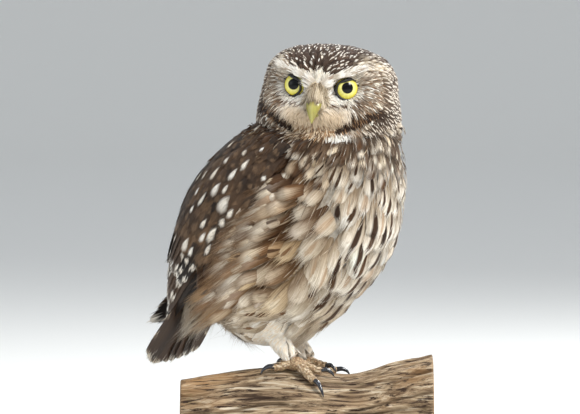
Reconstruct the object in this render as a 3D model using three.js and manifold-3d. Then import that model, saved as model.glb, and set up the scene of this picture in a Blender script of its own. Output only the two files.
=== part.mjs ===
// A life-size little owl, alert on a cut length of weathered limb that a plain display stand holds up.
// Millimetres, +Z up. The origin is the middle of the base's underside. +Y points away from a viewer
// who sees the owl's right side with the face turned to them, and +X points to that viewer's right.
import * as THREE from "three";
import { mergeVertices } from "three/addons/utils/BufferGeometryUtils.js";
import Module from "manifold-3d";

const wasm = await Module();
wasm.setup();

// Driving dimensions of the stand and the limb.
const BASE = { length: 168, depth: 124, height: 12, corner: 16 };
const LIMB = { length: 150, halfDepth: 36, halfHeight: 31, underside: 36 };
const ROD = { radius: 3.5, apart: 74, count: 2 };
const GAP = 0.35;

// Where the owl stands on the limb, how far it is turned from facing the viewer, and its own sizes.
const STANCE = { x: 8, y: -4, turn: THREE.MathUtils.degToRad(58) };
const HEAD = {
  forward: 7,
  eyeLevel: 175,
  turn: THREE.MathUtils.degToRad(-72),
  roll: THREE.MathUtils.degToRad(3.8),
};
const EYE = { radius: 8.2, apart: 29, forward: 21, splay: THREE.MathUtils.degToRad(30) };
const LID = { reach: 7.3, thickness: 1.15, forward: 3.9, squash: 0.97 };
const TAIL = {
  baseY: 72,
  baseZ: 72,
  length: 84,
  pitch: THREE.MathUtils.degToRad(56),
  roll: THREE.MathUtils.degToRad(4),
  count: 12,
  rootPitch: 2.4,
  tipPitch: 3.5,
  vane: 6.9,
  drop: 0.82,
};
const VANE = { edge: 0.5, ridge: 0.75, camber: 0.35 };

// Tiers of a folded wing, from the flight feathers up to the small coverts over the shoulder.
// Pairs are for the feather nearest the wing's lower edge and the one nearest the back: where it starts
// and ends across the wing and along it, and its height. Then width, sinking of the root, and roll.
const WING_TIERS = [
  {
    count: 6,
    across: [0.06, 0.3],
    ends: [0.14, 0.62],
    root: [0.44, 0.5],
    tip: [0.98, 0.86],
    height: [-2.4, 1.6],
    width: 11,
    sink: 0,
    roll: 0.1,
    long: true,
  },
  {
    count: 6,
    across: [0.14, 0.92],
    ends: [0.22, 0.88],
    root: [0.42, 0.44],
    tip: [0.76, 0.82],
    height: [3, 3],
    width: 14.5,
    sink: 4,
    roll: 0.8,
    long: true,
  },
  {
    count: 6,
    across: [0.08, 0.92],
    ends: [0.09, 0.93],
    root: [0.28, 0.3],
    tip: [0.57, 0.63],
    height: [4.1, 4.1],
    width: 15.5,
    sink: 5,
    roll: 0.8,
    long: false,
  },
  {
    count: 6,
    across: [0.08, 0.92],
    ends: [0.08, 0.92],
    root: [0.15, 0.16],
    tip: [0.4, 0.45],
    height: [5.1, 5.1],
    width: 16,
    sink: 6,
    roll: 0.8,
    long: false,
  },
  {
    count: 5,
    across: [0.1, 0.9],
    ends: [0.1, 0.9],
    root: [0.03, 0.03],
    tip: [0.26, 0.3],
    height: [6, 6],
    width: 17,
    sink: 7,
    roll: 0.8,
    long: false,
  },
];
const WING_BLOCK = {
  start: 0.08,
  end: 0.62,
  low: 0.05,
  high: 0.95,
  top: (t) => lerp(1.2, -0.4, smooth(0, 0.4, t)),
  bottom: () => -3.6,
  margin: 0.012,
};
const POCKET_TOP = 13;
const FOOT = { toe: 15, toeRadius: 3, claw: 10, clawRadius: 1.5 };

// Small helpers for numbers and curves.

const lerp = THREE.MathUtils.lerp;
const smooth = (low, high, v) => THREE.MathUtils.smoothstep(v, low, high);
const bell = (dx, dz, spreadX, spreadZ) =>
  Math.exp(-((dx / spreadX) ** 2 + (dz / spreadZ) ** 2) / 2);

// Reads a table of rows, sorted by their first value, as smooth curves through every row.
function track(rows) {
  const slope = (i, k) => {
    const low = rows[Math.max(i - 1, 0)];
    const high = rows[Math.min(i + 1, rows.length - 1)];
    return (high[k] - low[k]) / (high[0] - low[0]);
  };
  return (at) => {
    let i = 0;
    while (i < rows.length - 2 && at > rows[i + 1][0]) i++;
    const span = rows[i + 1][0] - rows[i][0];
    const u = THREE.MathUtils.clamp((at - rows[i][0]) / span, 0, 1);
    const [h1, h2] = [u * u * (3 - 2 * u), u * (1 - u) * (1 - u)];
    const h3 = -u * u * (1 - u);
    return rows[i].map(
      (v, k) => v + (rows[i + 1][k] - v) * h1 + span * (slope(i, k) * h2 + slope(i + 1, k) * h3),
    );
  };
}

// Turns a list of points and triangles into a geometry.
function meshOf(points, triangles) {
  const geometry = new THREE.BufferGeometry();
  const flat = points.flatMap((p) => [p.x, p.y, p.z]);
  geometry.setAttribute("position", new THREE.Float32BufferAttribute(flat, 3));
  geometry.setIndex(triangles);
  return geometry;
}

// Joins rings of points, each anticlockwise seen from the end that the rings run towards.
function loft(rings) {
  const count = rings[0].length;
  const points = rings.flat();
  const triangles = [];
  for (let j = 0; j < rings.length - 1; j++)
    for (let i = 0; i < count; i++) {
      const [a, b] = [j * count + i, j * count + ((i + 1) % count)];
      triangles.push(a, b, b + count, a, b + count, a + count);
    }
  for (const [j, first, second] of [[0, 1, 0], [rings.length - 1, 0, 1]]) {
    const middle = rings[j].reduce((sum, p) => sum.add(p), new THREE.Vector3());
    const centre = points.push(middle.divideScalar(count)) - 1;
    for (let i = 0; i < count; i++)
      triangles.push(centre, j * count + ((i + first) % count), j * count + ((i + second) % count));
  }
  return meshOf(points, triangles);
}

// A closed sheet between two grids of points alike in size, split the same way on both faces.
function sheet(top, bottom) {
  const [rows, columns] = [top.length, top[0].length];
  const points = [...top.flat(), ...bottom.flat()];
  const under = rows * columns;
  const at = (j, k) => j * columns + k;
  const triangles = [];
  const quad = (a, b, c, d) => triangles.push(a, b, c, a, c, d);
  for (let j = 0; j < rows - 1; j++)
    for (let k = 0; k < columns - 1; k++) {
      const [a, b, c, d] = [at(j, k), at(j, k + 1), at(j + 1, k + 1), at(j + 1, k)];
      quad(a, b, c, d);
      triangles.push(under + a, under + c, under + b, under + a, under + d, under + c);
    }
  for (let j = 0; j < rows - 1; j++) {
    quad(at(j, 0), at(j + 1, 0), under + at(j + 1, 0), under + at(j, 0));
    const last = columns - 1;
    quad(at(j + 1, last), at(j, last), under + at(j, last), under + at(j + 1, last));
  }
  for (let k = 0; k < columns - 1; k++) {
    quad(at(0, k + 1), at(0, k), under + at(0, k), under + at(0, k + 1));
    const end = rows - 1;
    quad(at(end, k), at(end, k + 1), under + at(end, k + 1), under + at(end, k));
  }
  return meshOf(points, triangles);
}

// A round limb along a smooth path, with a radius at each knot and a flattening across it.
function taperedTube(knots, radii, sides, steps) {
  const path = new THREE.CatmullRomCurve3(knots);
  const frames = path.computeFrenetFrames(steps, false);
  const size = track(radii.map((r, i) => [i / (radii.length - 1), r]));
  const rings = [];
  for (let j = 0; j <= steps; j++) {
    const centre = path.getPoint(j / steps);
    const radius = size(j / steps)[1];
    rings.push(
      Array.from({ length: sides }, (_, i) => {
        const a = (i / sides) * 2 * Math.PI;
        return centre
          .clone()
          .addScaledVector(frames.normals[j], Math.cos(a) * radius)
          .addScaledVector(frames.binormals[j], Math.sin(a) * radius);
      }),
    );
  }
  return loft(rings);
}

// Solids: joining, cutting, growing by a gap, and keeping the main body.

function toSolid(geometry) {
  const bare = geometry.clone();
  bare.deleteAttribute("normal");
  bare.deleteAttribute("uv");
  const merged = mergeVertices(bare, 1e-4);
  const build = (triVerts) =>
    new wasm.Manifold(
      new wasm.Mesh({ numProp: 3, vertProperties: merged.attributes.position.array, triVerts }),
    );
  const solid = build(new Uint32Array(merged.index.array));
  return solid.volume() < 0 ? build(new Uint32Array(merged.index.array).reverse()) : solid;
}

function toGeometry(solid) {
  const mesh = solid.getMesh();
  const geometry = new THREE.BufferGeometry();
  geometry.setAttribute("position", new THREE.BufferAttribute(mesh.vertProperties, 3));
  geometry.setIndex(new THREE.BufferAttribute(mesh.triVerts, 1));
  return geometry;
}

const fuse = (geometries) => geometries.map(toSolid).reduce((a, b) => a.add(b));
const largest = (solid) =>
  solid.decompose().reduce((a, b) => (b.volume() > a.volume() ? b : a));
const cutBy = (solid, ...cutters) => largest(cutters.reduce((a, b) => a.subtract(b), solid));

// The same solid with every corner moved out along its normal.
function grown(solid, gap = GAP) {
  const geometry = toGeometry(solid);
  geometry.computeVertexNormals();
  const { position, normal } = geometry.attributes;
  for (let i = 0; i < position.count; i++)
    position.setXYZ(
      i,
      position.getX(i) + gap * normal.getX(i),
      position.getY(i) + gap * normal.getY(i),
      position.getZ(i) + gap * normal.getZ(i),
    );
  return toSolid(geometry);
}

const moved = (solid, matrix) => toSolid(toGeometry(solid).applyMatrix4(matrix));

// The frames of the owl and of its head. In both, +X is the bird's left, -Y its front and +Z up.

const owl = new THREE.Group();
const headGroup = new THREE.Group();
const limbTop = BASE.height + LIMB.underside + 2 * LIMB.halfHeight;
owl.position.set(STANCE.x, STANCE.y, limbTop);
owl.rotation.z = STANCE.turn;
headGroup.position.set(0, -HEAD.forward, HEAD.eyeLevel);
headGroup.rotation.set(0, HEAD.roll, HEAD.turn, "ZXY");
owl.add(headGroup);
owl.updateMatrixWorld(true);
headGroup.updateMatrix();

// The limb lies along X. Its crest dips at the left, is nearly level under the feet and rises at the right.
const crest = track([
  [-80, -1.5, 0.97],
  [-44, 3.6, 1.03],
  [-15, 6.6, 1.07],
  [26, 2.6, 1.02],
  [53, 9, 1.08],
  [80, 15, 1.18],
]);

function limbSection(x) {
  const [, rise, swell] = crest(x);
  const halfHeight = LIMB.halfHeight * swell;
  return { middle: rise + limbTop - halfHeight, halfHeight, halfDepth: LIMB.halfDepth * swell };
}

// Height of the limb's upper surface at a point of the part's own frame.
function limbSurface(x, y) {
  const { middle, halfHeight, halfDepth } = limbSection(x);
  return middle + halfHeight * Math.sqrt(Math.max(0.02, 1 - (y / halfDepth) ** 2));
}

function limbGeometry() {
  const [steps, sides] = [14, 22];
  const rings = Array.from({ length: steps + 1 }, (_, j) => {
    const x = (j / steps - 0.5) * LIMB.length;
    const { middle, halfHeight, halfDepth } = limbSection(x);
    return Array.from({ length: sides }, (_, i) => {
      const a = (i / sides) * 2 * Math.PI;
      const under = Math.max(0, -Math.sin(a));
      const knots = 1 + under * 0.05 * Math.sin(3 * a + x / 17) + 0.012 * Math.sin(5 * a + x / 9);
      const [y, z] = [Math.cos(a) * halfDepth * knots, Math.sin(a) * halfHeight * knots];
      return new THREE.Vector3(x, y, middle + z);
    });
  });
  return loft(rings);
}

// Horizontal sections of the trunk from the belly up to the neck, one row for each height:
// height, how far it reaches behind, how far in front, half its width, and its squareness.
const trunkSection = track([
  [17.5, -38, -26, 5, 2],
  [18.5, -46, -20, 12, 2],
  [22, -54, -12, 20, 2.05],
  [29, -63, -3, 28, 2.1],
  [44, -76, 15, 38, 2.15],
  [55, -82, 27, 42, 2.2],
  [62, -84, 34, 44, 2.2],
  [76, -86.5, 43, 45.5, 2.2],
  [90, -86.5, 48.5, 46.5, 2.2],
  [104, -83.5, 51.5, 46.5, 2.2],
  [119, -76, 52.5, 46, 2.2],
  [131, -65, 51, 45, 2.15],
  [141, -52, 49.5, 42.5, 2.1],
  [147, -44.5, 46, 37.5, 2.05],
  [152, -37, 41, 31, 2],
  [155.5, -31, 35, 25, 2],
  [157.5, -25, 28, 19, 2],
]);

// Sections of the head in its own frame, with heights from the level of the eyes.
const headSection = track([
  [-34, -39, 31, 42, 2.1],
  [-24, -40, 33, 44, 2.15],
  [-16, -39, 34, 43.5, 2.15],
  [-8, -37.5, 33, 42, 2.2],
  [0, -35.5, 31.5, 40.5, 2.2],
  [8, -33, 29.5, 39.2, 2.2],
  [15, -28, 26, 35.5, 2.15],
  [20, -22.5, 20.5, 29.5, 2.1],
  [23.5, -14.5, 13, 19.5, 2],
  [25.2, -6, 5, 8.5, 2],
]);

// A ring of points round one section. A crowd above 0 sets them closer together in front.
function sectionRing(section, sides, crowd, relief = () => 0) {
  const [z, back, front, half, square] = section;
  return Array.from({ length: sides }, (_, i) => {
    const even = (i / sides) * 2 * Math.PI;
    const a = even - crowd * Math.sin(even);
    const [c, s] = [Math.cos(a), Math.sin(a)];
    const x = half * Math.sign(s) * Math.abs(s) ** (2 / square);
    const reach = ((front - back) / 2) * Math.sign(c) * Math.abs(c) ** (2 / square);
    const forward = (front + back) / 2 + reach + smooth(0, 0.45, c) * relief(x, z);
    return new THREE.Vector3(x, -forward, z);
  });
}

function heights(low, high, steps, ease) {
  return Array.from({ length: steps + 1 }, (_, j) => {
    const u = j / steps;
    return lerp(low, high, lerp(u, (1 - Math.cos(u * Math.PI)) / 2, ease));
  });
}

// The face in front view: hollows round the eyes, the brows over them, the ridge above the bill,
// the moustache and cheeks, and the rim of the facial disc.
function faceRelief(x, z) {
  const across = Math.abs(x);
  const dish = -5.2 * bell(across - EYE.apart / 2, z + 1, 7.2, 6.6);
  const browLine = 2.8 + 0.34 * across;
  const brow = 3.4 * Math.exp(-(((z - browLine) / 3) ** 2) / 2) * smooth(2, 8, across);
  const browEnd = 1 - smooth(24, 31, across);
  const ridge = 2.2 * bell(across, z + 1, 3.4, 8);
  const moustache = 2.6 * bell(across - 5, z + 15, 6, 6);
  const cheek = 1.6 * bell(across - 19, z + 16, 8, 5);
  const rim = 1.3 * Math.exp(-(((Math.hypot(across - 15, z + 1) - 19) / 2.6) ** 2) / 2);
  return dish + brow * browEnd + ridge + moustache + cheek + rim;
}

const trunkGeometry = () =>
  loft(heights(17.5, 157.5, 20, 0.5).map((z) => sectionRing(trunkSection(z), 32, 0)));

const headGeometry = () =>
  loft(heights(-34, 25.2, 24, 0.35).map((z) => sectionRing(headSection(z), 46, 0.42, faceRelief)))
    .applyMatrix4(headGroup.matrix);

// Everything below a plane through the trunk, given by its height in front and behind.
function below(frontZ, backZ) {
  const [reach, depth] = [100, 400];
  const box = new THREE.BoxGeometry(2 * depth, 2 * depth, 2 * depth);
  box.translate(0, 0, -depth);
  const tilt = Math.atan2(backZ - frontZ, 2 * reach);
  box.rotateX(tilt);
  box.translate(0, 0, (frontZ + backZ) / 2);
  return toSolid(box);
}

// Eyes: a ball for each, looking a little outwards, with a lid rim that belongs to the head.
function eyePlace(side) {
  const place = new THREE.Object3D();
  place.position.set((side * EYE.apart) / 2, -EYE.forward, 0);
  place.rotation.z = side * EYE.splay;
  place.updateMatrix();
  return place.matrix;
}

const eyeBall = () => new THREE.SphereGeometry(EYE.radius, 18, 10);

function lidRim() {
  const ring = new THREE.TorusGeometry(LID.reach, LID.thickness, 8, 24);
  ring.rotateX(Math.PI / 2);
  ring.scale(1, 1, LID.squash);
  ring.translate(0, -LID.forward, 0);
  return ring;
}

// Bill: a hooked upper half over a shorter lower one, with the line of the mouth between them.
// Each half is given by the ridge above, the edge below, and how wide it is on the way to its tip.

function billHalf(ridge, edge, widths) {
  const curve = (knots) => new THREE.CatmullRomCurve3(knots.map(([y, z]) => new THREE.Vector3(0, y, z)));
  const [top, bottom] = [curve(ridge), curve(edge)];
  const width = track(widths.map((w, i) => [i / (widths.length - 1), w]));
  const [steps, sides] = [8, 12];
  const rings = Array.from({ length: steps + 1 }, (_, j) => {
    const u = j / steps;
    const [high, low] = [top.getPoint(u), bottom.getPoint(u)];
    const middle = high.clone().add(low).divideScalar(2);
    const half = high.clone().sub(low).divideScalar(2);
    return Array.from({ length: sides }, (_, i) => {
      const a = (i / sides) * 2 * Math.PI;
      const out = new THREE.Vector3(Math.cos(a) * width(u)[1], 0, 0);
      return middle.clone().add(out).addScaledVector(half, Math.sin(a));
    });
  });
  return loft(rings);
}

const upperBill = () =>
  billHalf(
    [[-28, -4.4], [-36.2, -5.2], [-40.4, -9], [-41.9, -14.4], [-40.6, -21.6]],
    [[-28, -13.4], [-34, -13.4], [-37.4, -14.4], [-39.2, -17], [-40.2, -21.4]],
    [5, 4.9, 4.4, 2.9, 0.4],
  );
const lowerBill = () =>
  billHalf(
    [[-28, -14], [-34, -13.9], [-37, -15], [-38.6, -17.6]],
    [[-28, -17.4], [-33.6, -17.6], [-36.6, -18], [-38, -18.6]],
    [4.5, 4.3, 3.4, 1.4],
  );

function nostril(side) {
  const pit = new THREE.SphereGeometry(0.95, 8, 6);
  pit.translate(side * 3.6, -37.6, -7.6);
  return pit;
}

// Wings: each is a patch over the flank and back, between its lower edge and the line down the back.
// Rows run from the shoulder to the tip and hold the distance out, the distance back and the height.
const WING_LOWER = [[42.5, -9, 139], [47.5, 11, 113], [46.5, 38, 83], [32, 72, 47], [14, 104, 30]];
const WING_MIDDLE = [[28, 19, 147.5], [35, 41, 130], [37, 63, 103], [31, 83, 74], [12, 106, 36]];
const WING_UPPER = [[13, 25, 150.5], [10, 56, 134], [9, 82.5, 108], [8, 94, 78], [6, 108, 40]];

function wingPatch(side, drop) {
  const curve = (rows) =>
    new THREE.CatmullRomCurve3(
      rows.map(([x, y, z], i) => {
        const late = (i / (rows.length - 1)) ** 3;
        return new THREE.Vector3(
          side * (x + drop.x * late),
          y + drop.y * late,
          z + drop.z * late,
        );
      }),
    );
  const [lower, middle, upper] = [WING_LOWER, WING_MIDDLE, WING_UPPER].map(curve);
  const surface = (s, t) => {
    const [l, m, u] = [lower, middle, upper].map((c) => c.getPoint(THREE.MathUtils.clamp(t, 0, 1)));
    const bulge = m.multiplyScalar(2).addScaledVector(l, -0.5).addScaledVector(u, -0.5);
    return l
      .multiplyScalar((1 - s) ** 2)
      .addScaledVector(bulge, 2 * s * (1 - s))
      .addScaledVector(u, s * s);
  };
  const step = 0.01;
  const normal = (s, t) => {
    const late = Math.min(t, 1 - step);
    const along = surface(s, late + step).sub(surface(s, late));
    const across = surface(s + step, late).sub(surface(s, late));
    return along.cross(across).multiplyScalar(side).normalize();
  };
  return (s, t, h) => surface(s, t).addScaledVector(normal(s, t), h);
}

// A block of a wing between two heights over its patch, for the thick part that carries the feathers.
// It sits in a pocket of the trunk, which is wider than the block by a margin all round.
function wingBlock(patch, low, high, margin) {
  const [rows, columns] = [7, 4];
  const grid = (height) =>
    Array.from({ length: rows + 1 }, (_, j) =>
      Array.from({ length: columns + 1 }, (_, k) => {
        const t = lerp(WING_BLOCK.start - margin, WING_BLOCK.end + margin, j / rows);
        const s = lerp(WING_BLOCK.low - margin, WING_BLOCK.high + margin, k / columns);
        return patch(s, t, height(t));
      }),
    );
  return sheet(grid(high), grid(low));
}

// One feather as a thin cambered vane that follows a wing, its root sunk in the block. The edge
// towards the back lies under the next feather.
function wingVane(patch, f) {
  const widths = f.long ? [0.66, 0.96, 1, 0.84, 0.32] : [0.7, 1, 0.92, 0.4];
  const columns = f.long ? [-1, 0, 1] : [-1, 1];
  const steps = widths.length - 1;
  const [top, bottom] = [[], []];
  for (let j = 0; j <= steps; j++) {
    const u = j / steps;
    const t = lerp(f.root, f.tip, u);
    const s = lerp(f.rootAcross, f.tipAcross, u);
    const height = lerp(f.sunk, f.height, smooth(0, 0.3, u)) - 0.4 * smooth(0.6, 1, u);
    const half = (f.width / 2) * widths[j];
    const centre = patch(s, t, height);
    const up = patch(s, t, height + 1).sub(centre);
    const across = patch(s + 0.01, t, height).sub(patch(s - 0.01, t, height)).normalize();
    const row = (face) =>
      columns.map((k) => {
        const lift = (k ? -VANE.camber : 0) - k * f.roll + (face * (k ? VANE.edge : VANE.ridge)) / 2;
        return centre.clone().addScaledVector(across, k * half).addScaledVector(up, lift);
      });
    top.push(row(1));
    bottom.push(row(-1));
  }
  return sheet(top, bottom);
}

function wingGeometry(patch) {
  const pieces = [wingBlock(patch, WING_BLOCK.bottom, WING_BLOCK.top, 0)];
  for (const tier of WING_TIERS)
    for (let i = 0; i < tier.count; i++) {
      const u = i / (tier.count - 1);
      pieces.push(
        wingVane(patch, {
          root: lerp(...tier.root, u),
          tip: lerp(...tier.tip, u) + 0.01 * Math.sin(5 * i + tier.count),
          rootAcross: lerp(...tier.across, u),
          tipAcross: lerp(...tier.ends, u),
          width: tier.width,
          height: lerp(...tier.height, u),
          sunk: lerp(...tier.height, u) - tier.sink,
          roll: tier.roll,
          long: tier.long,
        }),
      );
    }
  return pieces;
}

// Tail: twelve long vanes, fanned a little, each under its neighbour nearer the middle.
function tailGeometry() {
  const widths = [0.62, 0.9, 1, 0.94, 0.42];
  const steps = widths.length - 1;
  const pieces = [];
  for (let i = 0; i < TAIL.count; i++) {
    const k = i - (TAIL.count - 1) / 2;
    const layer = Math.abs(k) - 0.5 + (k < 0 ? 1 : 0);
    const length = TAIL.length * (1 - 0.0035 * k * k);
    const face = (side) =>
      widths.map((width, j) => {
        const u = j / steps;
        const pitch = lerp(TAIL.rootPitch, TAIL.tipPitch, u);
        return [-1, 0, 1].map((m) => {
          const x = k * pitch + (m * width * TAIL.vane) / 2;
          const z = -TAIL.drop * layer + (side * (m ? VANE.edge : VANE.ridge)) / 2 - 0.1 * Math.abs(m);
          return new THREE.Vector3(x, u * length * Math.cos((k * pitch) / 90), z);
        });
      });
    pieces.push(sheet(face(1), face(-1)));
  }
  const root = new THREE.BoxGeometry(24, 34, 5.6);
  root.translate(0, 15, -2.2);
  pieces.push(root);
  return pieces.map((piece) =>
    piece.rotateY(TAIL.roll).rotateX(-TAIL.pitch).translate(0, TAIL.baseY, TAIL.baseZ),
  );
}

// Legs: feathered from the belly to the toes. The right foot is nearer the viewer and a little ahead.
const LEGS = [
  { name: "right", side: -1, x: 15, y: 7.6, knee: 20, twist: 0 },
  { name: "left", side: 1, x: 12, y: 15, knee: 17, twist: -16 },
];

// Height of the limb's surface under a point of the owl's frame, in the owl's frame.
function groundUnder(x, y) {
  const p = new THREE.Vector3(x, y, 0).applyMatrix4(owl.matrixWorld);
  return limbSurface(p.x, p.y) - owl.position.z;
}

function legGeometry(leg) {
  const x = leg.side * leg.x;
  const ground = groundUnder(x, leg.y);
  const knots = [
    [x * 1.35, leg.y + leg.knee + 2, ground + 52],
    [x * 1.2, leg.y + leg.knee, ground + 36],
    [x * 1.06, leg.y + leg.knee * 0.62, ground + 20],
    [x, leg.y + 1, ground + 7.5],
  ];
  return taperedTube(knots.map((k) => new THREE.Vector3(...k)), [13, 10.5, 7.6, 6.4], 14, 9);
}

// Two toes point ahead and two behind, as in all owls when they grip: the angle inwards from straight
// ahead, and the share of the full length.
const TOES = [
  { name: "inner", turn: 30, share: 1 },
  { name: "middle", turn: -16, share: 1.1 },
  { name: "outer", turn: -138, share: 0.9 },
  { name: "hind", turn: 160, share: 0.75 },
];

function toePath(leg, toe) {
  const x = leg.side * leg.x;
  const angle = THREE.MathUtils.degToRad(toe.turn + leg.twist) * leg.side;
  const reach = FOOT.toe * toe.share;
  const at = (distance, lift) => {
    const px = x - Math.sin(angle) * distance;
    const py = leg.y - Math.cos(angle) * distance;
    return new THREE.Vector3(px, py, groundUnder(px, py) + lift);
  };
  return {
    toe: [at(-2, 5.5), at(reach * 0.35, 4.4), at(reach * 0.7, 3), at(reach, 2.7)],
    claw: [
      at(reach - 1.5, 3.2),
      at(reach + FOOT.claw * 0.3, 4.2),
      at(reach + FOOT.claw * 0.62, 2.9),
      at(reach + FOOT.claw * 0.8, 0.5),
    ],
  };
}

function footGeometries(leg) {
  const x = leg.side * leg.x;
  const ankle = new THREE.SphereGeometry(5.4, 12, 7);
  ankle.scale(1, 1, 0.8);
  ankle.translate(x, leg.y, groundUnder(x, leg.y) + 5);
  const toes = TOES.map((toe) => {
    const r = FOOT.toeRadius;
    return taperedTube(toePath(leg, toe).toe, [r * 1.1, r, r * 0.95, r * 0.7], 8, 4);
  });
  return [ankle, ...toes];
}

const clawGeometry = (leg, toe) => {
  const r = FOOT.clawRadius;
  return taperedTube(toePath(leg, toe).claw, [r, r * 0.9, r * 0.6, r * 0.18], 6, 4);
};

// Stand: a flat base with round corners and two short rods that carry the limb.
function baseGeometry() {
  const [a, b, r] = [BASE.length / 2, BASE.depth / 2, BASE.corner];
  const outline = new THREE.Shape();
  for (const [x, y, start] of [
    [a - r, b - r, 0],
    [r - a, b - r, Math.PI / 2],
    [r - a, r - b, Math.PI],
    [a - r, r - b, 1.5 * Math.PI],
  ])
    outline.absarc(x, y, r, start, start + Math.PI / 2, false);
  return new THREE.ExtrudeGeometry(outline, {
    depth: BASE.height,
    bevelEnabled: false,
    curveSegments: 6,
  });
}

function rodGeometry(x) {
  const length = LIMB.underside + LIMB.halfHeight;
  const rod = new THREE.CylinderGeometry(ROD.radius, ROD.radius, length, 16);
  rod.rotateX(Math.PI / 2);
  rod.translate(x, 0, BASE.height + GAP + length / 2);
  return rod;
}

// Cutting and assembly.

const part = new THREE.Group();
const finish = (r, g, b, roughness, metalness = 0) =>
  new THREE.MeshStandardMaterial({ color: new THREE.Color(r, g, b), roughness, metalness });
const looks = {
  plumage: finish(0.45, 0.36, 0.27, 0.9),
  wing: finish(0.2, 0.14, 0.09, 0.85),
  leg: finish(0.75, 0.67, 0.54, 0.9),
  toe: finish(0.5, 0.4, 0.28, 0.8),
  claw: finish(0.03, 0.03, 0.04, 0.35),
  eye: finish(0.8, 0.7, 0.1, 0.1),
  bill: finish(0.5, 0.48, 0.12, 0.45),
  wood: finish(0.4, 0.31, 0.22, 0.95),
  base: finish(0.12, 0.09, 0.07, 0.5),
  rod: finish(0.55, 0.55, 0.57, 0.3, 1),
};

function show(group, name, solid, look) {
  const mesh = new THREE.Mesh(toGeometry(solid), looks[look]);
  mesh.name = name;
  group.add(mesh);
  return solid;
}

const toOwl = owl.matrixWorld.clone().invert();
const toHead = headGroup.matrix.clone().invert();

const limb = show(part, "perch", toSolid(limbGeometry()), "wood");
const limbGrown = grown(limb);
const limbInOwl = moved(limbGrown, toOwl);
show(part, "stand_base", toSolid(baseGeometry()), "base");
for (let i = 0; i < ROD.count; i++) {
  const x = (i - (ROD.count - 1) / 2) * ROD.apart;
  show(part, `stand_rod_${i + 1}`, cutBy(toSolid(rodGeometry(x)), limbGrown), "rod");
}

// The trunk, neck, head and lid rims are one body, parted by two thin cuts.
const eyes = [["left", 1], ["right", -1]].map(([name, side]) => {
  const ball = toSolid(eyeBall().applyMatrix4(eyePlace(side)));
  show(headGroup, `eye_${name}`, ball, "eye");
  return grown(moved(ball, headGroup.matrix));
});
const lids = [1, -1].map((side) =>
  lidRim().applyMatrix4(eyePlace(side)).applyMatrix4(headGroup.matrix),
);
const body = fuse([trunkGeometry(), headGeometry(), ...lids]);
const bodyGrown = grown(body);
const neckTop = { front: 149, back: 151 };
const neckBottom = { front: 124, back: 150 };
const belowNeck = below(neckBottom.front + GAP, neckBottom.back + GAP);
const belowHead = below(neckTop.front + GAP, neckTop.back + GAP);

// The left wing is held a little loose, so that its tip shows past the right one.
const rightPatch = wingPatch(-1, { x: 0, y: 0, z: 0 });
const leftPatch = wingPatch(1, { x: -16, y: 23, z: -4 });
const pockets = [rightPatch, leftPatch].map((patch) =>
  toSolid(wingBlock(patch, (t) => WING_BLOCK.bottom(t) - GAP, () => POCKET_TOP, WING_BLOCK.margin)),
);
show(
  owl,
  "torso",
  cutBy(body.intersect(below(neckBottom.front, neckBottom.back)), ...pockets),
  "plumage",
);
show(
  owl,
  "neck",
  cutBy(body.intersect(below(neckTop.front, neckTop.back)), belowNeck, ...pockets),
  "plumage",
);
show(owl, "head", cutBy(body, belowHead, ...eyes, ...pockets), "plumage");

const faceGrown = moved(bodyGrown, toHead);
const nostrils = fuse([nostril(1), nostril(-1)]);
const upper = show(
  headGroup,
  "bill_upper",
  cutBy(toSolid(upperBill()), faceGrown, nostrils),
  "bill",
);
show(headGroup, "bill_lower", cutBy(toSolid(lowerBill()), faceGrown, grown(upper)), "bill");

// Each wing is cut clear of the trunk, apart from its block, which sits in a pocket there.
function showWing(name, patch, ...others) {
  const block = toSolid(wingBlock(patch, WING_BLOCK.bottom, () => POCKET_TOP - 1, 0));
  const around = cutBy(bodyGrown, block);
  return show(owl, name, cutBy(fuse(wingGeometry(patch)), around, ...others), "wing");
}

const rightWing = showWing("wing_right", rightPatch);
const leftWing = showWing("wing_left", leftPatch, grown(rightWing));
show(
  owl,
  "tail",
  cutBy(fuse(tailGeometry()), bodyGrown, grown(rightWing), grown(leftWing)),
  "wing",
);

for (const leg of LEGS) {
  const limbOfLeg = show(
    owl,
    `leg_${leg.name}`,
    cutBy(toSolid(legGeometry(leg)), bodyGrown, limbInOwl),
    "leg",
  );
  const foot = show(
    owl,
    `foot_${leg.name}`,
    cutBy(fuse(footGeometries(leg)), grown(limbOfLeg), limbInOwl),
    "toe",
  );
  for (const toe of TOES)
    show(
      owl,
      `claw_${leg.name}_${toe.name}`,
      cutBy(toSolid(clawGeometry(leg, toe)), grown(foot), limbInOwl),
      "claw",
    );
}

part.add(owl);

export default part;
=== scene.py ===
"""A life-size little owl, alert on a cut length of weathered limb, with its display stand.

Millimetres in the tables below, turned to metres where a mesh is made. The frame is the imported
part's: +Z up, +Y away from the viewer, the origin under the middle of the base.
"""

import itertools
import math

import bpy
import numpy as np
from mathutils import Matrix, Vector
from mathutils.bvhtree import BVHTree
from mathutils.kdtree import KDTree


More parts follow.
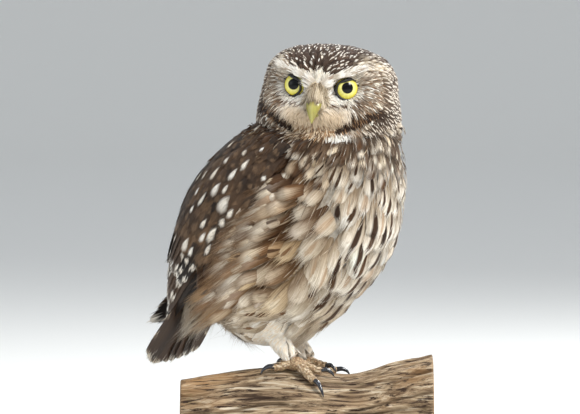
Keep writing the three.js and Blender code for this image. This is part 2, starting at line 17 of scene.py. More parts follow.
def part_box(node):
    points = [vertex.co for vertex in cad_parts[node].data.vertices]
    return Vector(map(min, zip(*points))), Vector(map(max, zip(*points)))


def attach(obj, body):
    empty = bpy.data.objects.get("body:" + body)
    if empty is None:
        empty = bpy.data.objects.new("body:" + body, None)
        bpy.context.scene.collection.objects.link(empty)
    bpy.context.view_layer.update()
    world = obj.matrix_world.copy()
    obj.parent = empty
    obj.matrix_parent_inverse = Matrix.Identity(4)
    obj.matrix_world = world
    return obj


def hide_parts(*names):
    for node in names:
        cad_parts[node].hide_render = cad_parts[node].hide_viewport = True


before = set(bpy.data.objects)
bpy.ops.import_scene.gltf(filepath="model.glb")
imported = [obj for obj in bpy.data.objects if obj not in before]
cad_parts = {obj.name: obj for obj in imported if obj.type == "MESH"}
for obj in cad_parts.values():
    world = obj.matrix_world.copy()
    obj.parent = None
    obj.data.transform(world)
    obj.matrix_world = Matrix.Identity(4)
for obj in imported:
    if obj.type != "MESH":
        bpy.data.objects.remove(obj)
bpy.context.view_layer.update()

# Display stand: a flat dark hardwood base with round corners and a moulded upper edge, cut on a
# router, rubbed down and waxed. Two brushed steel rods stand in it and carry the limb, each in a
# turned collar that is let into the wood.
BASE = {"length": 168, "depth": 124, "corner": 16}
BASE_EDGE = [(1.2, 0), (0.3, 0.4), (0, 1.2), (0, 6.4), (0.3, 6.9), (1.6, 7.2), (2.0, 7.5), (2.1, 8.1),
             (2.5, 9.3), (3.6, 10.5), (5.3, 11.4), (7.4, 11.9), (9.5, 12)]


def colour(red, green, blue):
    """A shader colour from the 0 to 255 values that a swatch is read in."""
    parts = [c / 255 for c in (red, green, blue)]
    return (*[c / 12.92 if c <= 0.04045 else ((c + 0.055) / 1.055) ** 2.4 for c in parts], 1.0)


class Finish:
    """One material: values on its shader's own sockets, and nodes for whatever varies over the piece."""

    def __init__(self, name, **sockets):
        self.material = bpy.data.materials.new(name)
        self.material.use_nodes = True
        self.tree = self.material.node_tree
        self.shader = self.tree.nodes["Principled BSDF"]
        for socket, value in sockets.items():
            self.shader.inputs[socket.replace("_", " ")].default_value = value

    def feed(self, socket, value):
        """Give a socket a value, or join it to a node."""
        if isinstance(value, bpy.types.NodeSocket):
            self.tree.links.new(value, socket)
        else:
            socket.default_value = value

    def node(self, kind, inputs=None, **settings):
        """A new node with its settings and inputs."""
        node = self.tree.nodes.new("ShaderNode" + kind)
        for setting, value in settings.items():
            setattr(node, setting, value)
        for key, value in (inputs or {}).items():
            self.feed(node.inputs[key], value)
        return node

    def noise(self, scale, stretch=(1, 1, 1), detail=5, roughness=0.6, distortion=0.0, at=None):
        """Noise over the piece in its own axes, or at other places."""
        where = at or self.node("TexCoord").outputs["Object"]
        where = self.node("Mapping", {"Vector": where, "Scale": stretch}).outputs[0]
        inputs = {"Vector": where, "Scale": scale, "Detail": detail, "Roughness": roughness,
                  "Distortion": distortion}
        return self.node("TexNoise", inputs).outputs[0]

    def carried(self, name, kind="Fac"):
        """A value, colour or vector that the mesh carries at its points."""
        return self.node("Attribute", attribute_name=name).outputs[kind]

    def parts(self, name):
        """The three numbers of a vector that the mesh carries."""
        return self.node("SeparateXYZ", {0: self.carried(name, "Vector")}).outputs

    def math(self, operation, a, b=0.0):
        return self.node("Math", {0: a, 1: b}, operation=operation).outputs[0]

    def times(self, a, b):
        return self.math("MULTIPLY", a, b)

    def plus(self, a, b):
        return self.math("ADD", a, b)

    def span(self, value, low, high, to_low=0.0, to_high=1.0):
        """A value carried over from one range to another, and held at its ends."""
        inputs = {"Value": value, "From Min": low, "From Max": high, "To Min": to_low, "To Max": to_high}
        return self.node("MapRange", inputs).outputs[0]

    def mix(self, share, a, b, blend="MIX"):
        """Two tones blended by a share."""
        return self.node("Mix", {0: share, 6: a, 7: b}, data_type="RGBA", blend_type=blend).outputs[2]

    def ramp(self, share, *stops):
        """Tones or values along a share, from its stops."""
        node = self.node("ValToRGB", {0: share})
        steps = node.color_ramp.elements
        while len(steps) < len(stops):
            steps.new(0.5)
        for step, (position, value) in zip(steps, stops):
            step.position = position
            step.color = value if isinstance(value, tuple) else (value, value, value, 1)
        return node.outputs[0]

    def paint(self, tone):
        """Give the surface its tone."""
        self.feed(self.shader.inputs["Base Color"], tone)

    def bump(self, height, depth, strength=1.0):
        """Relief from a height of 0 to 1, with its depth in mm."""
        inputs = {"Height": height, "Distance": depth * 0.001, "Strength": strength}
        self.feed(self.shader.inputs["Normal"], self.node("Bump", inputs).outputs[0])


def piece(name, points, faces, finish, slot, stands_for=(), carries=None):
    """One mesh from points in mm and arrays of faces, riding on the part's only body."""
    groups = [np.asarray(f, np.int32) for f in (faces if isinstance(faces, list) else [faces])]
    corners = np.concatenate([g.ravel() for g in groups])
    sizes = np.concatenate([np.full(len(g), g.shape[1]) for g in groups])
    mesh = bpy.data.meshes.new(name)
    mesh.vertices.add(len(points))
    mesh.vertices.foreach_set("co", (np.asarray(points) * 0.001).astype(np.float32).ravel())
    mesh.loops.add(len(corners))
    mesh.loops.foreach_set("vertex_index", corners)
    mesh.polygons.add(len(sizes))
    mesh.polygons.foreach_set("loop_start", (np.cumsum(sizes) - sizes).astype(np.int32))
    mesh.polygons.foreach_set("use_smooth", np.ones(len(sizes), bool))
    mesh.update(calc_edges=True)
    for key, values in (carries or {}).items():
        values = np.asarray(values, np.float32)
        kind, field = ("FLOAT", "value") if values.ndim == 1 else ("FLOAT_COLOR", "color")
        if values.ndim == 2:
            values = np.column_stack([values, np.ones(len(values), np.float32)])
        mesh.attributes.new(key, kind, "POINT").data.foreach_set(field, values.ravel())
    mesh.materials.append(finish.material)
    thing = bpy.data.objects.new(name, mesh)
    bpy.context.scene.collection.objects.link(thing)
    if slot:
        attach(thing, "root")
    if stands_for:
        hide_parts(*stands_for)
    return thing


def round_circle(sides):
    """Angles round a circle, one for each side."""
    return np.linspace(0, 2 * np.pi, sides, endpoint=False)


def lofted(rings, close_start=True, close_end=True):
    """Points and faces that join rings of points, all alike in count, with a cap at either end."""
    rings = np.asarray(rings, float)
    count, sides = rings.shape[:2]
    points = rings.reshape(-1, 3)
    row = np.arange(sides)
    here = (np.arange(count - 1)[:, None] * sides + row).ravel()
    beside = (np.arange(count - 1)[:, None] * sides + (row + 1) % sides).ravel()
    faces = [np.column_stack([here, beside, beside + sides, here + sides])]
    for wanted, start, flip in ((close_start, 0, True), (close_end, (count - 1) * sides, False)):
        if wanted:
            points = np.vstack([points, points[start:start + sides].mean(0)])
            fan = np.column_stack([start + row, start + (row + 1) % sides, np.full(sides, len(points) - 1)])
            faces.append(fan[:, ::-1] if flip else fan)
    return points, faces


def rounded_outline(length, depth, corner, steps=10):
    """Points round a rectangle with rounded corners."""
    quarter = np.linspace(0, np.pi / 2, steps)
    ring = []
    for turn, (sx, sy) in enumerate(((1, 1), (-1, 1), (-1, -1), (1, -1))):
        angle = quarter + turn * np.pi / 2
        ring.append(np.column_stack([sx * (length / 2 - corner) + corner * np.cos(angle),
                                     sy * (depth / 2 - corner) + corner * np.sin(angle)]))
    return np.vstack(ring)


waxed_wood = Finish("waxed_dark_wood", Roughness=0.34, Coat_Weight=0.25, Coat_Roughness=0.2)
base_grain = waxed_wood.noise(95, (0.09, 1, 1), 6, 0.62, 0.35)
base_pores = waxed_wood.noise(900, (0.04, 1, 1), 3)
base_tone = waxed_wood.ramp(base_grain, (0.3, colour(38, 23, 15)), (0.52, colour(66, 41, 26)),
                            (0.72, colour(92, 60, 38)))
base_pore_share = waxed_wood.ramp(base_pores, (0.34, 0.55), (0.5, 0.0))
waxed_wood.paint(waxed_wood.mix(base_pore_share, base_tone, colour(24, 14, 9)))
waxed_wood.bump(base_pores, 0.12, 0.5)

base_rings = []
for inset, height in BASE_EDGE:
    outline = rounded_outline(BASE["length"] - 2 * inset, BASE["depth"] - 2 * inset, BASE["corner"] - inset)
    base_rings.append(np.column_stack([outline, np.full(len(outline), height)]))
piece("base_board", *lofted(base_rings), waxed_wood, "base", ["stand_base"])

brushed = Finish("brushed_steel", Metallic=1.0, Roughness=0.3, Anisotropic=0.5)
brush_lines = brushed.noise(1500, (1, 1, 0.03), 3)
brushed.paint(brushed.ramp(brush_lines, (0.3, colour(150, 150, 152)), (0.7, colour(196, 196, 198))))
brushed.bump(brush_lines, 0.05, 0.4)

for number in (1, 2):
    low, high = (np.array(corner) * 1000 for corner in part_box(f"stand_rod_{number}"))
    centre_x, centre_y = (low[:2] + high[:2]) / 2
    foot, top = 11.9, high[2] + 1.5
    profile = [(7.4, foot), (7.4, foot + 1.3), (7.1, foot + 1.7), (6.6, foot + 1.9), (4.4, foot + 2.3),
               (4.0, foot + 2.8), (3.5, foot + 3.3), (3.5, top)]
    around = round_circle(48)
    rod_rings = [np.column_stack([centre_x + r * np.cos(around), centre_y + r * np.sin(around),
                                  np.full(len(around), z)]) for r, z in profile]
    piece(f"steel_rod_{number}", *lofted(rod_rings), brushed, "rod", [f"stand_rod_{number}"])

# Perch: a cut length of a fallen limb that has lost its bark. Sun and rain have opened long cracks
# along its grain and left it grey over tan, and both ends are sawn square across the rings. It is
# drilled from below and pushed over the two rods.
LIMB = {"length": 150, "half_depth": 36, "half_height": 31, "top": 110, "girth": 33}
CREST = [(-80, -1.5, 0.97), (-44, 3.6, 1.03), (-15, 6.6, 1.07), (26, 2.6, 1.02), (53, 9, 1.08), (80, 15, 1.18)]
CRACKS = 60
SAWN_FACE = [(0.985, 0.5), (0.96, 0.75), (0.8, 0.7), (0.6, 0.75), (0.4, 0.7), (0.2, 0.75), (0.04, 0.7)]


def track(rows, at):
    """Smooth curves through rows that are sorted by their first value, read at many places at once."""
    rows = np.asarray(rows, float)
    at = np.asarray(at, float)
    order = np.arange(len(rows))
    above, below = np.minimum(order + 1, len(rows) - 1), np.maximum(order - 1, 0)
    slopes = (rows[above] - rows[below]) / (rows[above, 0] - rows[below, 0])[:, None]
    i = np.clip(np.searchsorted(rows[:, 0], at) - 1, 0, len(rows) - 2)
    span = (rows[i + 1, 0] - rows[i, 0])[..., None]
    u = np.clip((at[..., None] - rows[i, 0][..., None]) / span, 0, 1)
    step = (rows[i + 1] - rows[i]) * u * u * (3 - 2 * u)
    return rows[i] + step + span * (slopes[i] * u * (1 - u) ** 2 - slopes[i + 1] * u * u * (1 - u))


def smooth(low, high, value):
    """From 0 at low to 1 at high, with soft ends."""
    share = np.clip((np.asarray(value, float) - low) / (high - low), 0, 1)
    return share * share * (3 - 2 * share)


def fade(low, high, value):
    """From 1 at low to 0 at high, with soft ends."""
    return 1 - smooth(low, high, value)


def hump(off, spread):
    """1 in the middle, falling to nothing over a spread on either side."""
    return np.exp(-(off / spread) ** 2)


def drift(points, size, seed=0):
    """Smooth noise from -1 to 1 at points in mm, in lumps of that size."""
    scaled = np.asarray(points, float) / size + 31.7 * (seed + 1)
    cell = np.floor(scaled).astype(np.int64)
    share = scaled - cell
    share = share * share * (3 - 2 * share)
    total = np.zeros(len(scaled))
    for corner in itertools.product((0, 1), repeat=3):
        at = cell + corner
        salt = at[:, 0] * 73856093 ^ at[:, 1] * 19349663 ^ at[:, 2] * 83492791 ^ (seed * 9176 + 77)
        salt = (salt ^ (salt >> 13)) * 1274126177 & 0x7FFFFFFF
        salt = (salt ^ (salt >> 15)) & 0xFFFF
        weight = np.prod(np.where(corner, share, 1 - share), axis=1)
        total += (salt / 32767.5 - 1) * weight
    return total


def limb_ground(x, y):
    """Height of the limb's upper surface in the part's frame."""
    line = track(CREST, x)
    half_height, half_depth = LIMB["half_height"] * line[..., 2], LIMB["half_depth"] * line[..., 2]
    middle = line[..., 1] + LIMB["top"] - half_height
    return middle + half_height * np.sqrt(np.maximum(0.02, 1 - (y / half_depth) ** 2))


limb_steps, limb_sides = 120, 330
limb_x = np.repeat(np.linspace(-0.5, 0.5, limb_steps + 1) * LIMB["length"], limb_sides)
limb_angle = np.tile(round_circle(limb_sides), limb_steps + 1)
limb_line = track(CREST, limb_x)
half_height, half_depth = LIMB["half_height"] * limb_line[:, 2], LIMB["half_depth"] * limb_line[:, 2]
limb_middle = limb_line[:, 1] + LIMB["top"] - half_height
under = np.maximum(0, -np.sin(limb_angle))
knots = (1 + under * 0.05 * np.sin(3 * limb_angle + limb_x / 17)
         + 0.012 * np.sin(5 * limb_angle + limb_x / 9))
limb_round = np.column_stack([limb_x, np.cos(limb_angle) * half_depth * knots,
                              np.sin(limb_angle) * half_height * knots])
swirl = limb_round * (0.1, 1, 1) + np.column_stack([0 * limb_x, 1.6 * drift(limb_round, 21, 1),
                                                   1.6 * drift(limb_round, 21, 2)])
relief = 0.7 * drift(swirl, 5.2, 3) + 0.6 * drift(swirl, 2.2, 4) - 1.2 * np.abs(drift(swirl, 7.5, 5)) ** 0.6
relief += 0.55 * drift(limb_round * (0.4, 1, 1), 14, 6)
cracked = np.zeros(len(limb_x))
crack_draw = np.random.default_rng(41)
for _ in range(CRACKS):
    where, start = crack_draw.uniform(0, 2 * np.pi), crack_draw.uniform(-95, 55)
    long, wide, deep = crack_draw.uniform(25, 85), crack_draw.uniform(0.5, 1.0), crack_draw.uniform(0.9, 2.4)
    wander = where + 0.05 * np.sin(limb_x / crack_draw.uniform(9, 22) + where * 7)
    off = (limb_angle - wander + np.pi) % (2 * np.pi) - np.pi
    run = smooth(start, start + 12, limb_x) * fade(start + long - 12, start + long, limb_x)
    cracked = np.maximum(cracked, deep * run * hump(LIMB["girth"] * off, wide))
standing = hump(limb_x - 6, 40) * smooth(0.55, 0.85, np.sin(limb_angle))
relief = (relief * (1 - 0.55 * standing)) - cracked * (1 - 0.4 * standing)
relief -= 0.25 * standing
away = np.column_stack([0 * limb_x, np.cos(limb_angle), np.sin(limb_angle)])
limb_points = limb_round + away * relief[:, None]
limb_points[:, 2] += limb_middle
limb_rings = limb_points.reshape(limb_steps + 1, limb_sides, 3)
limb_hollow = relief.reshape(limb_steps + 1, limb_sides)


def sawn_end(ring, out):
    """Rings of a sawn face, from just inside its rim to near its pith, with a worn edge."""
    pith = ring.mean(0)
    rows = []
    for share, proud in SAWN_FACE:
        row = pith + (ring - pith) * share
        row[:, 0] = ring[:, 0] + out * proud
        rows.append(row)
    return rows


left_end, right_end = sawn_end(limb_rings[0], -1), sawn_end(limb_rings[-1], 1)
all_rings = np.array([*left_end[::-1], *limb_rings, *right_end])
# One value for each point: a sawn face, the limb, the other face and the point at either pith.
face = len(SAWN_FACE) * limb_sides
hollow = np.concatenate([np.zeros(face), limb_hollow.ravel(), np.zeros(face + 2)])
sawn = np.concatenate([np.ones(face), np.zeros(limb_x.size), np.ones(face + 2)])

weathered = Finish("weathered_limb", Roughness=0.86, Specular_IOR_Level=0.25)
fibre = weathered.noise(330, (0.06, 1, 1), 7, 0.7, 0.5)
fine_fibre = weathered.noise(460, (0.09, 1, 1), 6, 0.7, 0.5)
blotch = weathered.noise(28, (0.5, 1, 1), 4)
wood_tone = weathered.ramp(fibre, (0.36, colour(70, 52, 38)), (0.45, colour(140, 116, 90)),
                           (0.55, colour(190, 166, 134)), (0.66, colour(236, 222, 198)))
ochre_share = weathered.ramp(blotch, (0.5, 0.0), (0.68, 0.75))
wood_tone = weathered.mix(ochre_share, wood_tone, colour(168, 128, 84))
moss_share = weathered.ramp(weathered.noise(60, (1, 1, 1), 5, 0.7), (0.6, 0.0), (0.72, 0.45))
wood_tone = weathered.mix(moss_share, wood_tone, colour(112, 106, 66))
# Painted shade: the wood is darkened in its cracks and hollows, the deeper the darker.
hollow_painted_shade = weathered.span(weathered.carried("hollow"), 0.2, -1.6)
wood_tone = weathered.mix(hollow_painted_shade, wood_tone, weathered.mix(0.5, wood_tone, colour(44, 32, 24), "MULTIPLY"))
fine_share = weathered.ramp(fine_fibre, (0.41, 1.0), (0.47, 0.0))
wood_tone = weathered.mix(fine_share, wood_tone, colour(54, 39, 29))
pith = weathered.node("Mapping", {"Vector": weathered.node("TexCoord").outputs["Object"],
                                  "Location": (0, 0.004, -0.083)}).outputs[0]
year_rings = weathered.node("TexWave", {"Vector": pith, "Scale": 130.0, "Distortion": 3.5, "Detail": 3.0,
                                        "Detail Scale": 0.6}, wave_type="RINGS", rings_direction="X")
sawn_tone = weathered.ramp(year_rings.outputs[0], (0.2, colour(186, 156, 118)), (0.8, colour(140, 108, 76)))
sawn_tone = weathered.mix(weathered.ramp(blotch, (0.35, 0.0), (0.7, 0.6)), sawn_tone, colour(120, 104, 88))
weathered.paint(weathered.mix(weathered.carried("sawn"), wood_tone, sawn_tone))
weathered.bump(weathered.plus(fibre, weathered.times(fine_fibre, 0.7)), 0.9, 1.2)
piece("weathered_limb", *lofted(all_rings), weathered, "wood", ["perch"], {"hollow": hollow, "sawn": sawn})

# Skin: head, neck, body and feathered legs are one surface in a bird, with no seam. It is a warm
# brown ground that lies a few millimetres inside the plumage, and it shows only between feathers.
# It is lofted as trunk, head and two legs, fused to one shell, and drawn in by the coat's depth.
STANCE = {"place": (8, -4, 110), "turn": 58}
HEAD = {"place": (0, -7, 175), "turn": -72, "roll": 3.8}
TRUNK = [(17.5, -38, -26, 5, 2), (18.5, -46, -20, 12, 2), (22, -54, -12, 20, 2.05), (29, -63, -3, 28, 2.1),
         (44, -76, 15, 38, 2.15), (55, -82, 27, 42, 2.2), (62, -84, 34, 44, 2.2), (76, -86.5, 43, 45.5, 2.2),
         (90, -86.5, 48.5, 46.5, 2.2), (104, -83.5, 51.5, 46.5, 2.2), (119, -76, 52.5, 46, 2.2),
         (131, -65, 51, 45, 2.15), (141, -52, 49.5, 42.5, 2.1), (147, -44.5, 46, 37.5, 2.05),
         (152, -37, 41, 31, 2), (155.5, -31, 35, 25, 2), (157.5, -25, 28, 19, 2)]
SKULL = [(-34, -39, 31, 42, 2.1), (-24, -40, 33, 44, 2.15), (-16, -39, 34, 43.5, 2.15), (-8, -37.5, 33, 42, 2.2),
         (0, -35.5, 31.5, 40.5, 2.2), (8, -33, 29.5, 39.2, 2.2), (15, -28, 26, 35.5, 2.15),
         (20, -22.5, 20.5, 29.5, 2.1), (23.5, -14.5, 13, 19.5, 2), (25.2, -6, 5, 8.5, 2)]
LEGS = [{"side": -1, "x": 15, "y": 7.6, "knee": 20, "twist": 0},
        {"side": 1, "x": 12, "y": 15, "knee": 17, "twist": -16}]
LEG_RADII = [(0, 13), (1 / 3, 10.5), (2 / 3, 7.6), (1, 6.4)]
EYE = {"radius": 8.2, "apart": 29, "forward": 21, "splay": 30}
COAT = {"trunk": 3.6, "head": 2.3, "face": 1.3, "leg": 2.0}


def turned(axis, degrees):
    """A turn about the upright axis, or about the one from front to back."""
    c, s = math.cos(math.radians(degrees)), math.sin(math.radians(degrees))
    return np.array([[c, -s, 0], [s, c, 0], [0, 0, 1]] if axis == "Z" else [[c, 0, s], [0, 1, 0], [-s, 0, c]])


OWL_TURN, HEAD_TURN = turned("Z", STANCE["turn"]), turned("Z", HEAD["turn"]) @ turned("Y", HEAD["roll"])


def from_owl(points):
    """From the standing owl's own axes to the part's frame."""
    return np.asarray(points) @ OWL_TURN.T + STANCE["place"]


def to_owl(points):
    """From the part's frame to the owl's own axes."""
    return (np.asarray(points) - STANCE["place"]) @ OWL_TURN


def from_head(points):
    """From the turned head's own axes to the part's frame."""
    return from_owl(np.asarray(points) @ HEAD_TURN.T + HEAD["place"])


def to_head(points):
    """From the part's frame to the head's own axes."""
    return (to_owl(points) - HEAD["place"]) @ HEAD_TURN


def ways_from_head(ways):
    """Directions in the head's axes, as directions in the part's frame."""
    return from_head(ways) - from_head(np.zeros(3))


def ground_under(x, y):
    """The limb's surface under a place beside the owl, in the owl's frame."""
    place = from_owl(np.stack([x, y, 0 * x], -1))
    return limb_ground(place[..., 0], place[..., 1]) - STANCE["place"][2]


def bell(dx, dz, spread_x, spread_z):
    """A round swelling, 1 in its middle."""
    return np.exp(-((dx / spread_x) ** 2 + (dz / spread_z) ** 2) / 2)


def face_relief(x, z):
    """Hollows round the eyes, brows, the ridge above the bill, moustache, cheeks and the disc's rim."""
    across = np.abs(x)
    relief = -5.2 * bell(across - EYE["apart"] / 2, z + 1, 7.2, 6.6)
    brow = 3.4 * np.exp(-(((z - 2.8 - 0.34 * across) / 3) ** 2) / 2)
    relief += brow * smooth(2, 8, across) * fade(24, 31, across)
    relief += 2.2 * bell(across, z + 1, 3.4, 8) + 2.6 * bell(across - 5, z + 15, 6, 6)
    relief += 1.6 * bell(across - 19, z + 16, 8, 5)
    return relief + 1.3 * np.exp(-(((np.hypot(across - 15, z + 1) - 19) / 2.6) ** 2) / 2)


def stacked(rows, levels, sides, relief=None):
    """Level rings from a table of height, reach behind, reach in front, half width and squareness."""
    z, back, front, half, square = (v[:, None] for v in track(rows, levels).T)
    angle = round_circle(sides)
    c, s = np.cos(angle), np.sin(angle)
    x = half * np.sign(s) * np.abs(s) ** (2 / square)
    forward = (front + back) / 2 + (front - back) / 2 * np.sign(c) * np.abs(c) ** (2 / square)
    if relief:
        forward = forward + smooth(0, 0.45, c) * relief(x, z)
    return np.stack([x, -forward, z + 0 * x], -1)


def eased(low, high, steps):
    """Steps from low to high that lie closer together near both ends."""
    u = np.linspace(0, 1, steps + 1)
    return low + (high - low) * (u + (1 - np.cos(u * np.pi)) / 2) / 2


def through(knots, at):
    """Points at shares from 0 to 1 along a centripetal curve through the knots."""
    knots = np.asarray(knots, float)
    ends = np.vstack([2 * knots[0] - knots[1], knots, 2 * knots[-1] - knots[-2]])
    place = np.clip(np.asarray(at, float), 0, 1) * (len(knots) - 1)
    i = np.minimum(place.astype(int), len(knots) - 2)
    u = (place - i)[..., None]
    p0, p1, p2, p3 = (ends[i + k] for k in range(4))
    d0, d1, d2 = (np.sqrt(np.linalg.norm(b - a, axis=-1, keepdims=True))
                  for a, b in ((p0, p1), (p1, p2), (p2, p3)))
    leave = ((p1 - p0) / d0 - (p2 - p0) / (d0 + d1) + (p2 - p1) / d1) * d1
    arrive = ((p2 - p1) / d1 - (p3 - p1) / (d1 + d2) + (p3 - p2) / d2) * d1
    return p1 + leave * u + (3 * (p2 - p1) - 2 * leave - arrive) * u**2 + (2 * (p1 - p2) + leave + arrive) * u**3


def unit(vectors):
    """The same directions with a length of 1."""
    return vectors / np.maximum(np.linalg.norm(vectors, axis=-1, keepdims=True), 1e-9)


def limb_of(knots, radii, sides, steps):
    """Rings of a round limb through knots, with its radius from a table of shares."""
    share = np.linspace(0, 1, steps + 1)
    centres = through(knots, share)
    along = unit(np.gradient(centres, axis=0))
    beside = unit(np.cross(along, (0.3, 0.9, 0.31)))
    third = np.cross(along, beside)
    angle = round_circle(sides)[None, :, None]
    radius = track(radii, share)[:, 1][:, None, None]
    return centres[:, None] + radius * (np.cos(angle) * beside[:, None] + np.sin(angle) * third[:, None])


def leg_knots(leg):
    """Where a leg's centre line passes, from inside the belly down to the foot."""
    x, y = leg["side"] * leg["x"], leg["y"]
    ground = float(ground_under(np.array(x), np.array(y)))
    return [(x * 1.35, y + leg["knee"] + 2, ground + 52), (x * 1.2, y + leg["knee"], ground + 36),
            (x * 1.06, y + leg["knee"] * 0.62, ground + 20), (x, y + 1, ground + 7.5)]


def fused(name, lofts, voxel):
    """One shell round several closed lofts, as points in mm and quads."""
    points, faces, count = [], [], 0
    for loft_points, loft_faces in lofts:
        points.append(loft_points * 0.001)
        faces += [tuple(int(c) + count for c in f) for group in loft_faces for f in group]
        count += len(loft_points)
    mesh = bpy.data.meshes.new(name)
    mesh.from_pydata(np.vstack(points), [], faces)
    thing = bpy.data.objects.new(name, mesh)
    bpy.context.scene.collection.objects.link(thing)
    melt = thing.modifiers.new("fuse", "REMESH")
    melt.mode, melt.voxel_size = "VOXEL", voxel * 0.001
    rub = thing.modifiers.new("rub_down", "SMOOTH")
    rub.factor, rub.iterations = 0.5, 3
    shell = thing.evaluated_get(bpy.context.evaluated_depsgraph_get()).to_mesh()
    out = np.empty(len(shell.vertices) * 3, np.float32)
    shell.vertices.foreach_get("co", out)
    corners = np.empty(len(shell.loops), np.int32)
    shell.loops.foreach_get("vertex_index", corners)
    normals = np.empty(len(shell.vertices) * 3, np.float32)
    shell.vertices.foreach_get("normal", normals)
    bpy.data.objects.remove(thing)
    return out.reshape(-1, 3) * 1000.0, corners.reshape(-1, 4), normals.reshape(-1, 3).astype(float)


trunk_rings = from_owl(stacked(TRUNK, eased(17.5, 157.5, 70), 96))
skull_rings = from_head(stacked(SKULL, eased(-34, 25.2, 60), 160, face_relief))
leg_rings = [from_owl(limb_of(leg_knots(leg), LEG_RADII, 28, 24)) for leg in LEGS]
outer_points, skin_quads, outer_normals = fused(
    "skin_blank", [lofted(rings) for rings in (trunk_rings, skull_rings, *leg_rings)], 1.25)


def coat_depth(points):
    """How far the skin lies inside the tips of the plumage, in mm."""
    head, owl = to_head(points), to_owl(points)
    headed = smooth(-36, -22, head[:, 2]) * fade(52, 66, np.linalg.norm(head, axis=1))
    faced = headed * smooth(0, 14, -head[:, 1] - 12) * fade(9, 18, head[:, 2])
    depth = COAT["trunk"] + (COAT["head"] - COAT["trunk"]) * headed
    depth += (COAT["face"] - COAT["head"]) * faced
    return depth + (COAT["leg"] - depth) * fade(16, 30, owl[:, 2])


skin_points = outer_points - outer_normals * coat_depth(outer_points)[:, None]
skin_tree = BVHTree.FromPolygons(skin_points.tolist(), skin_quads.tolist())

# Eyes: large, fixed balls that fill their sockets, made as blown glass eyes are: a yellow iris and a
# black pupil under a clear, wet front. A bare black lid rim holds each one, lower over the eye's
# inner upper side, where the brow presses on it.
GAZE = {"left": (-8, 5), "right": (24, 5)}
LID = {"open": 6.0, "brow": 4.3, "brow_turn": 17, "wide": 12.0, "thick": 1.1}
LID_PROFILE = [(0, -0.5), (0.0, 0.35), (0.06, 0.75), (0.2, 1.0), (0.42, 1.05), (0.68, 0.75), (0.9, 0.1),
               (1.0, -0.8)]
EYE_SIDES = 72


def from_eye(side, points):
    """From the axes of the right or left eye to the part's frame."""
    placed = np.asarray(points) @ turned("Z", side * EYE["splay"]).T
    return from_head(placed + (side * EYE["apart"] / 2, -EYE["forward"], 0))


glass = Finish("wet_yellow_eye", Roughness=0.2, Coat_Weight=0.5, Coat_Roughness=0.02, Coat_IOR=1.38,
               Specular_IOR_Level=0.1)
polar, around_eye = glass.carried("polar"), glass.carried("around", "Vector")
spokes = glass.noise(5.5, (1, 1, 1), 6, 0.7, 0.3, at=around_eye)
ring_tone = glass.ramp(polar, (0.25, colour(214, 204, 110)), (0.3, colour(238, 234, 150)),
                       (0.42, colour(234, 226, 108)), (0.52, colour(222, 210, 84)),
                       (0.565, colour(196, 172, 60)), (0.60, colour(110, 84, 26)))
iris_tone = glass.mix(glass.ramp(spokes, (0.36, 0.5), (0.58, 0.0)), ring_tone,
                      glass.mix(0.5, ring_tone, colour(186, 164, 62)))
pupil_share = glass.ramp(polar, (0.252, 1.0), (0.268, 0.0))
rim_share = glass.ramp(polar, (0.585, 0.0), (0.615, 1.0))
eye_tone = glass.mix(pupil_share, iris_tone, colour(6, 6, 8))
glass.paint(glass.mix(rim_share, eye_tone, colour(16, 13, 11)))

bare_lid = Finish("bare_black_lid", Base_Color=colour(20, 17, 16), Roughness=0.42)
bare_lid.bump(bare_lid.noise(2600, (1, 1, 1), 3), 0.12, 0.6)

for name, side in (("left", 1), ("right", -1)):
    angles = np.radians(np.concatenate([[0.6], np.linspace(3, 64, 30), np.linspace(68, 150, 16)]))
    turn = round_circle(EYE_SIDES)
    swell = EYE["radius"] + 0.45 * hump(np.degrees(angles), 38)
    eye_rings = np.stack([np.outer(swell * np.sin(angles), np.cos(turn)),
                          np.repeat((-swell * np.cos(angles))[:, None], EYE_SIDES, 1),
                          np.outer(swell * np.sin(angles), np.sin(turn))], -1)
    eye_points, eye_faces = lofted(from_eye(side, eye_rings.reshape(-1, 3)).reshape(eye_rings.shape))
    aside, raised = (math.radians(angle) for angle in GAZE[name])
    gaze = np.array([math.sin(aside) * math.cos(raised), -math.cos(aside) * math.cos(raised), math.sin(raised)])
    ways = unit(np.vstack([eye_rings.reshape(-1, 3), [[0, -1, 0], [0, 1, 0]]]))
    right_of = np.cross(gaze, (0, 0, 1.0))
    right_of /= np.linalg.norm(right_of)
    polar_share = np.degrees(np.arccos(np.clip(ways @ gaze, -1, 1))) / 90
    spoke = np.column_stack([ways @ right_of, ways @ np.cross(right_of, gaze)])
    spoke /= np.maximum(np.linalg.norm(spoke, axis=1, keepdims=True), 1e-6)
    piece(f"eye_{name}_glass", eye_points, eye_faces, glass, "eye", [f"eye_{name}"],
          {"polar": polar_share, "around": np.column_stack([spoke, 0.12 * polar_share])})

    to_brow = np.cos(turn - (np.pi / 2 + side * math.radians(LID["brow_turn"])))
    cut_reach = LID["brow"] / np.maximum(to_brow, 0.05)
    open_reach = -np.log(np.exp(-3 * LID["open"]) + np.exp(-3 * np.minimum(cut_reach, 12))) / 3
    press = smooth(LID["open"], LID["brow"], open_reach)
    corner = np.maximum(0, np.cos(turn - (np.pi / 2 + side * 2.0))) ** 12
    opening = np.degrees(np.arcsin(np.clip(open_reach / EYE["radius"], 0, 0.99))) + 4 * corner
    lid_rings = []
    for across, proud in LID_PROFILE:
        angle = np.radians(opening + LID["wide"] * across * (1 + 0.5 * press))
        reach = EYE["radius"] + 0.1 + LID["thick"] * proud * (1 + 0.35 * press)
        lid_rings.append(np.column_stack([reach * np.sin(angle) * np.cos(turn), -reach * np.cos(angle),
                                          reach * np.sin(angle) * np.sin(turn)]))
    lid_rings = from_eye(side, np.array(lid_rings).reshape(-1, 3)).reshape(-1, EYE_SIDES, 3)
    piece(f"eye_{name}_lid_rim", *lofted(lid_rings, False, False), bare_lid, "eye")

